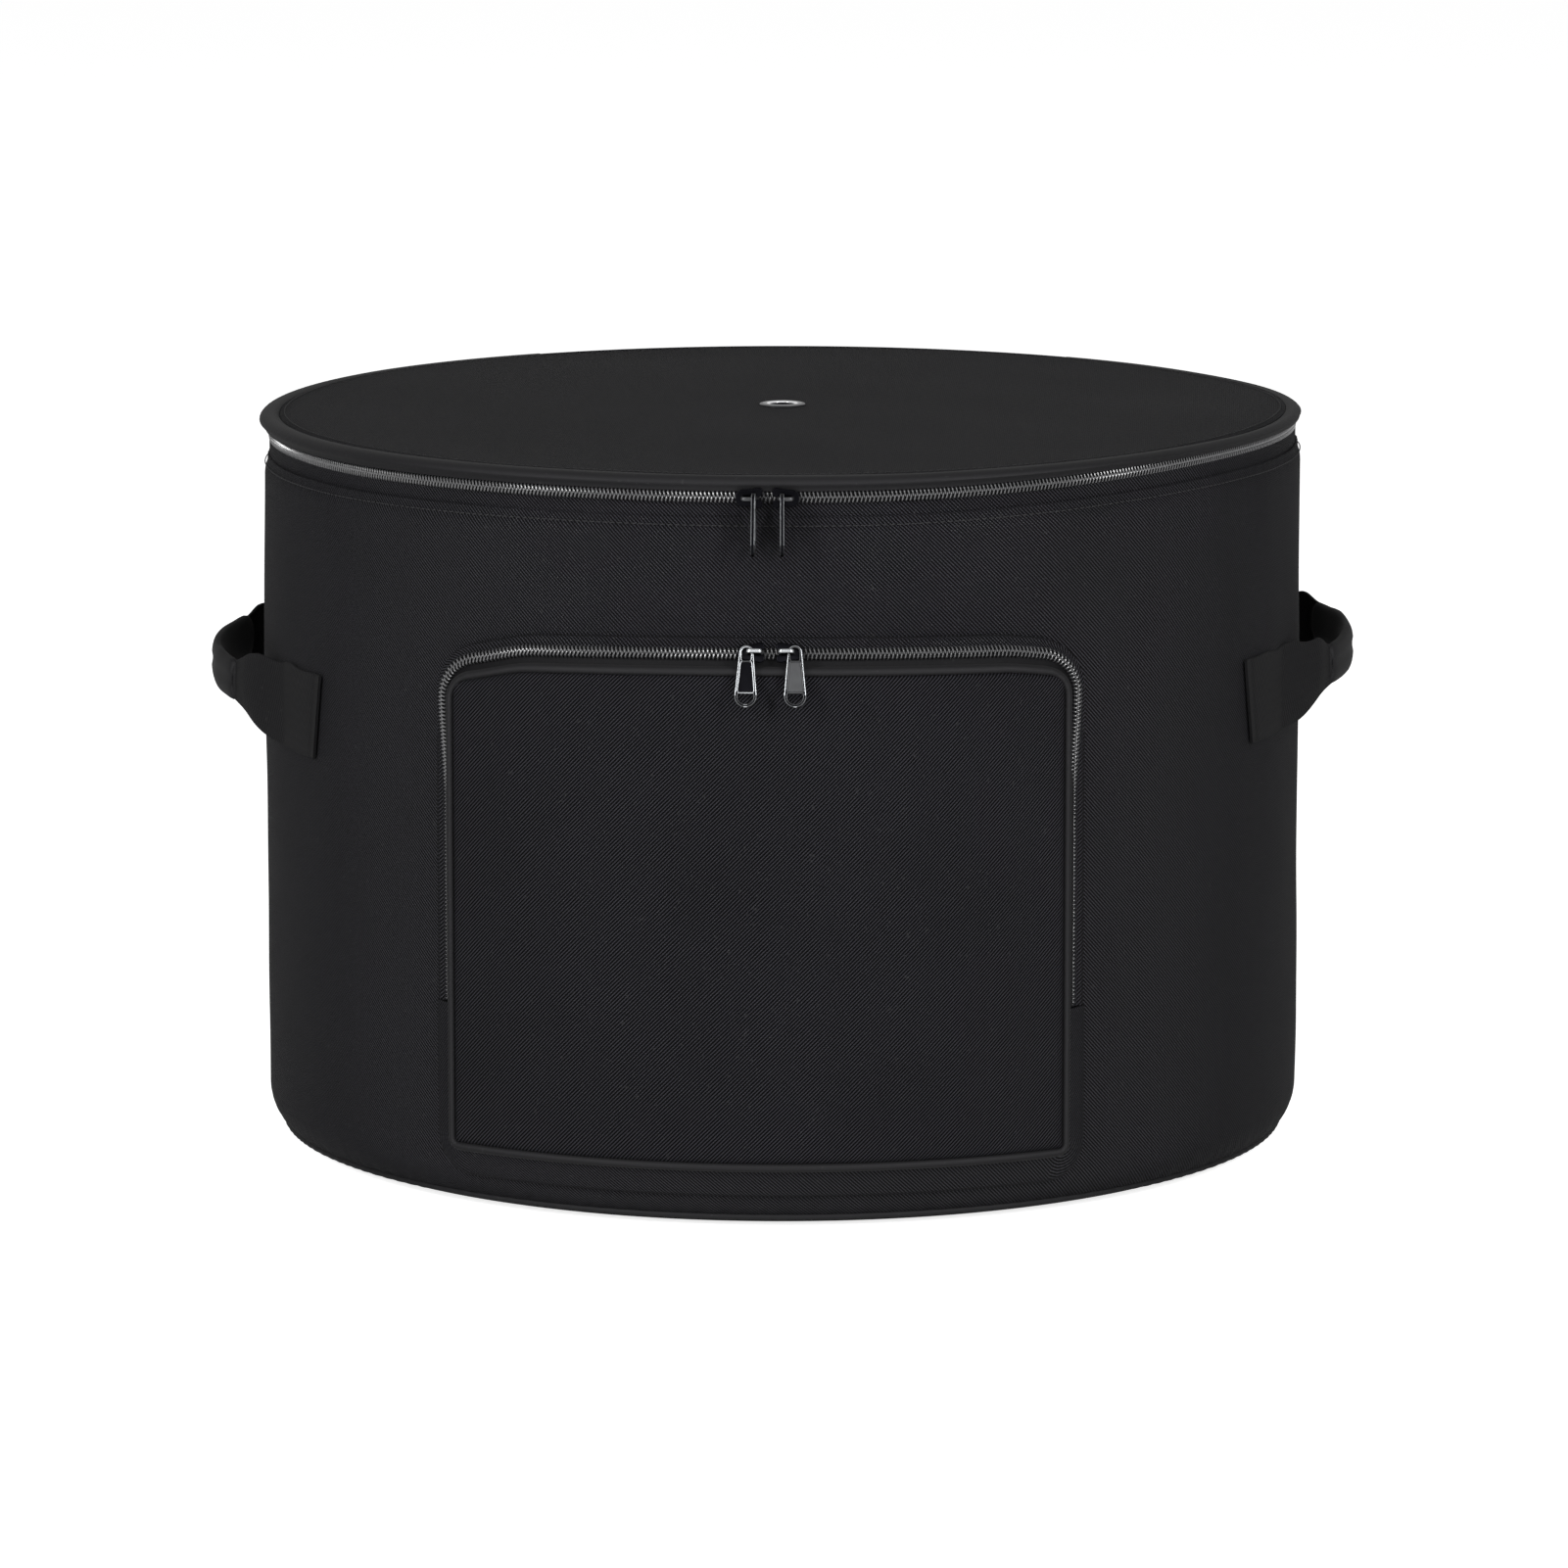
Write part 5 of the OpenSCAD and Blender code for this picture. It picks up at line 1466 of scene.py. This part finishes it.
def aim(item, target):
    """Turns a lamp or the camera towards a point."""
    item.rotation_euler = (Vector(target) - item.location).to_track_quat("-Z", "Y").to_euler()


def make_floor():
    """A plain pale floor just below the bag."""
    mesh = bpy.data.meshes.new("floor")
    corners = [(x * FLOOR_HALF, y * FLOOR_HALF, 0) for x, y in ((-1, -1), (1, -1), (1, 1), (-1, 1))]
    mesh.from_pydata(corners, [], [(0, 1, 2, 3)])
    mesh.materials.append(material("Floor"))
    ground = bpy.data.objects.new("floor", mesh)
    ground.location.z = -FLOOR_GAP
    bpy.context.collection.objects.link(ground)


def make_world():
    """White surroundings, much darker as a light on the bag."""
    world = bpy.data.worlds.new("Studio")
    bpy.context.scene.world = world
    world.use_nodes = True
    world.node_tree.nodes.clear()
    w = Wiring(world.node_tree)
    level = w.maths("MULTIPLY_ADD", seen_directly(w), 1.0 - WORLD_LEVEL, WORLD_LEVEL)
    light = w.add("ShaderNodeBackground", {"Color": (1.0, 1.0, 1.0, 1.0), "Strength": level})
    w.add("ShaderNodeOutputWorld", {"Surface": light.outputs[0]})


def make_lamps():
    """Soft lamps in front of the bag, beside it and above it."""
    for name, place, size, watts in LAMPS:
        data = bpy.data.lights.new(name, "AREA")
        data.shape = "RECTANGLE"
        data.size, data.size_y = size
        data.energy = watts
        light = bpy.data.objects.new(name, data)
        light.location = place
        aim(light, LAMP_AIM)
        bpy.context.collection.objects.link(light)


def make_camera():
    """The camera, with a long lens, and the plain view transform."""
    camera = bpy.data.cameras.new("camera")
    camera.lens = CAMERA_LENS
    camera.sensor_width = 36.0
    camera.clip_end = 100.0
    eye = bpy.data.objects.new("camera", camera)
    bpy.context.collection.objects.link(eye)
    eye.location = on_drum(CAMERA_AWAY, CAMERA_TURN, CAMERA_Z)
    aim(eye, CAMERA_AIM)
    bpy.context.scene.camera = eye
    bpy.context.scene.view_settings.view_transform = "Standard"


# ---- operators -------------------------------------------------------------------------------------------
class BagStep(bpy.types.Operator):
    """Runs its building functions, which raise an error if they can't finish."""

    bl_options = {"REGISTER", "UNDO"}

    def execute(self, context):
        for build in self.builds:
            build()
        return {"FINISHED"}


class BAG_OT_stage(BagStep):
    """Set up the floor, the lamps and the camera"""

    bl_idname = "bag.stage"
    bl_label = "Stage"
    builds = (make_floor, make_world, make_lamps, make_camera)


class BAG_OT_drum(BagStep):
    """Make the wall, the back strip, the base, its piping and the bound seams"""

    bl_idname = "bag.drum"
    bl_label = "Drum"
    builds = (make_wall, make_back, make_base, make_base_welt, make_bindings)


class BAG_OT_lid(BagStep):
    """Make the lid's top and its rolled edge"""

    bl_idname = "bag.lid"
    bl_label = "Lid"
    builds = (make_lid, make_rim)


class BAG_OT_lid_zip(BagStep):
    """Make the tapes and teeth of the lid's zip"""

    bl_idname = "bag.lid_zip"
    bl_label = "Lid zip"
    builds = (make_lid_zip,)


class BAG_OT_pocket(BagStep):
    """Make the pocket's front, folded edge, gusset and zip"""

    bl_idname = "bag.pocket"
    bl_label = "Pocket"
    builds = (make_pocket_front, make_pocket_edge, make_pocket_gusset, make_pocket_zip)


class BAG_OT_handles(BagStep):
    """Make both handles with their grips"""

    bl_idname = "bag.handles"
    bl_label = "Handles"
    builds = (make_handles,)


class BAG_OT_stitching(BagStep):
    """Lay the rows of stitches"""

    bl_idname = "bag.stitching"
    bl_label = "Stitching"
    builds = (make_stitching,)


class BAG_OT_metal(BagStep):
    """Finish the sliders, the pulls and the eyelet"""

    bl_idname = "bag.metal"
    bl_label = "Metal"
    builds = (make_metal, make_eyelet)


STEPS = (BAG_OT_stage, BAG_OT_drum, BAG_OT_lid, BAG_OT_lid_zip, BAG_OT_pocket, BAG_OT_handles,
         BAG_OT_stitching, BAG_OT_metal)


class BAG_PT_panel(bpy.types.Panel):
    """Lists the settings and the building steps."""

    bl_idname = "BAG_PT_panel"
    bl_label = "Hose Bag"
    bl_space_type = "VIEW_3D"
    bl_region_type = "UI"
    bl_category = "Hose Bag"

    def draw(self, context):
        for group in (context.scene.bag_sizes, context.scene.bag_colours):
            box = self.layout.box()
            for name in group.__annotations__:
                box.prop(group, name)
        for step in STEPS:
            self.layout.operator(step.bl_idname)


CLASSES = (BagSizes, BagColours, *STEPS, BAG_PT_panel)


def register():
    for item in CLASSES:
        bpy.utils.register_class(item)
    bpy.types.Scene.bag_sizes = bpy.props.PointerProperty(type=BagSizes)
    bpy.types.Scene.bag_colours = bpy.props.PointerProperty(type=BagColours)


def unregister():
    del bpy.types.Scene.bag_colours
    del bpy.types.Scene.bag_sizes
    for item in reversed(CLASSES):
        bpy.utils.unregister_class(item)


def main():
    register()
    for step in STEPS:
        group, name = step.bl_idname.split(".")
        getattr(getattr(bpy.ops, group), name)()
    bpy.context.view_layer.update()


if __name__ == "__main__":
    main()
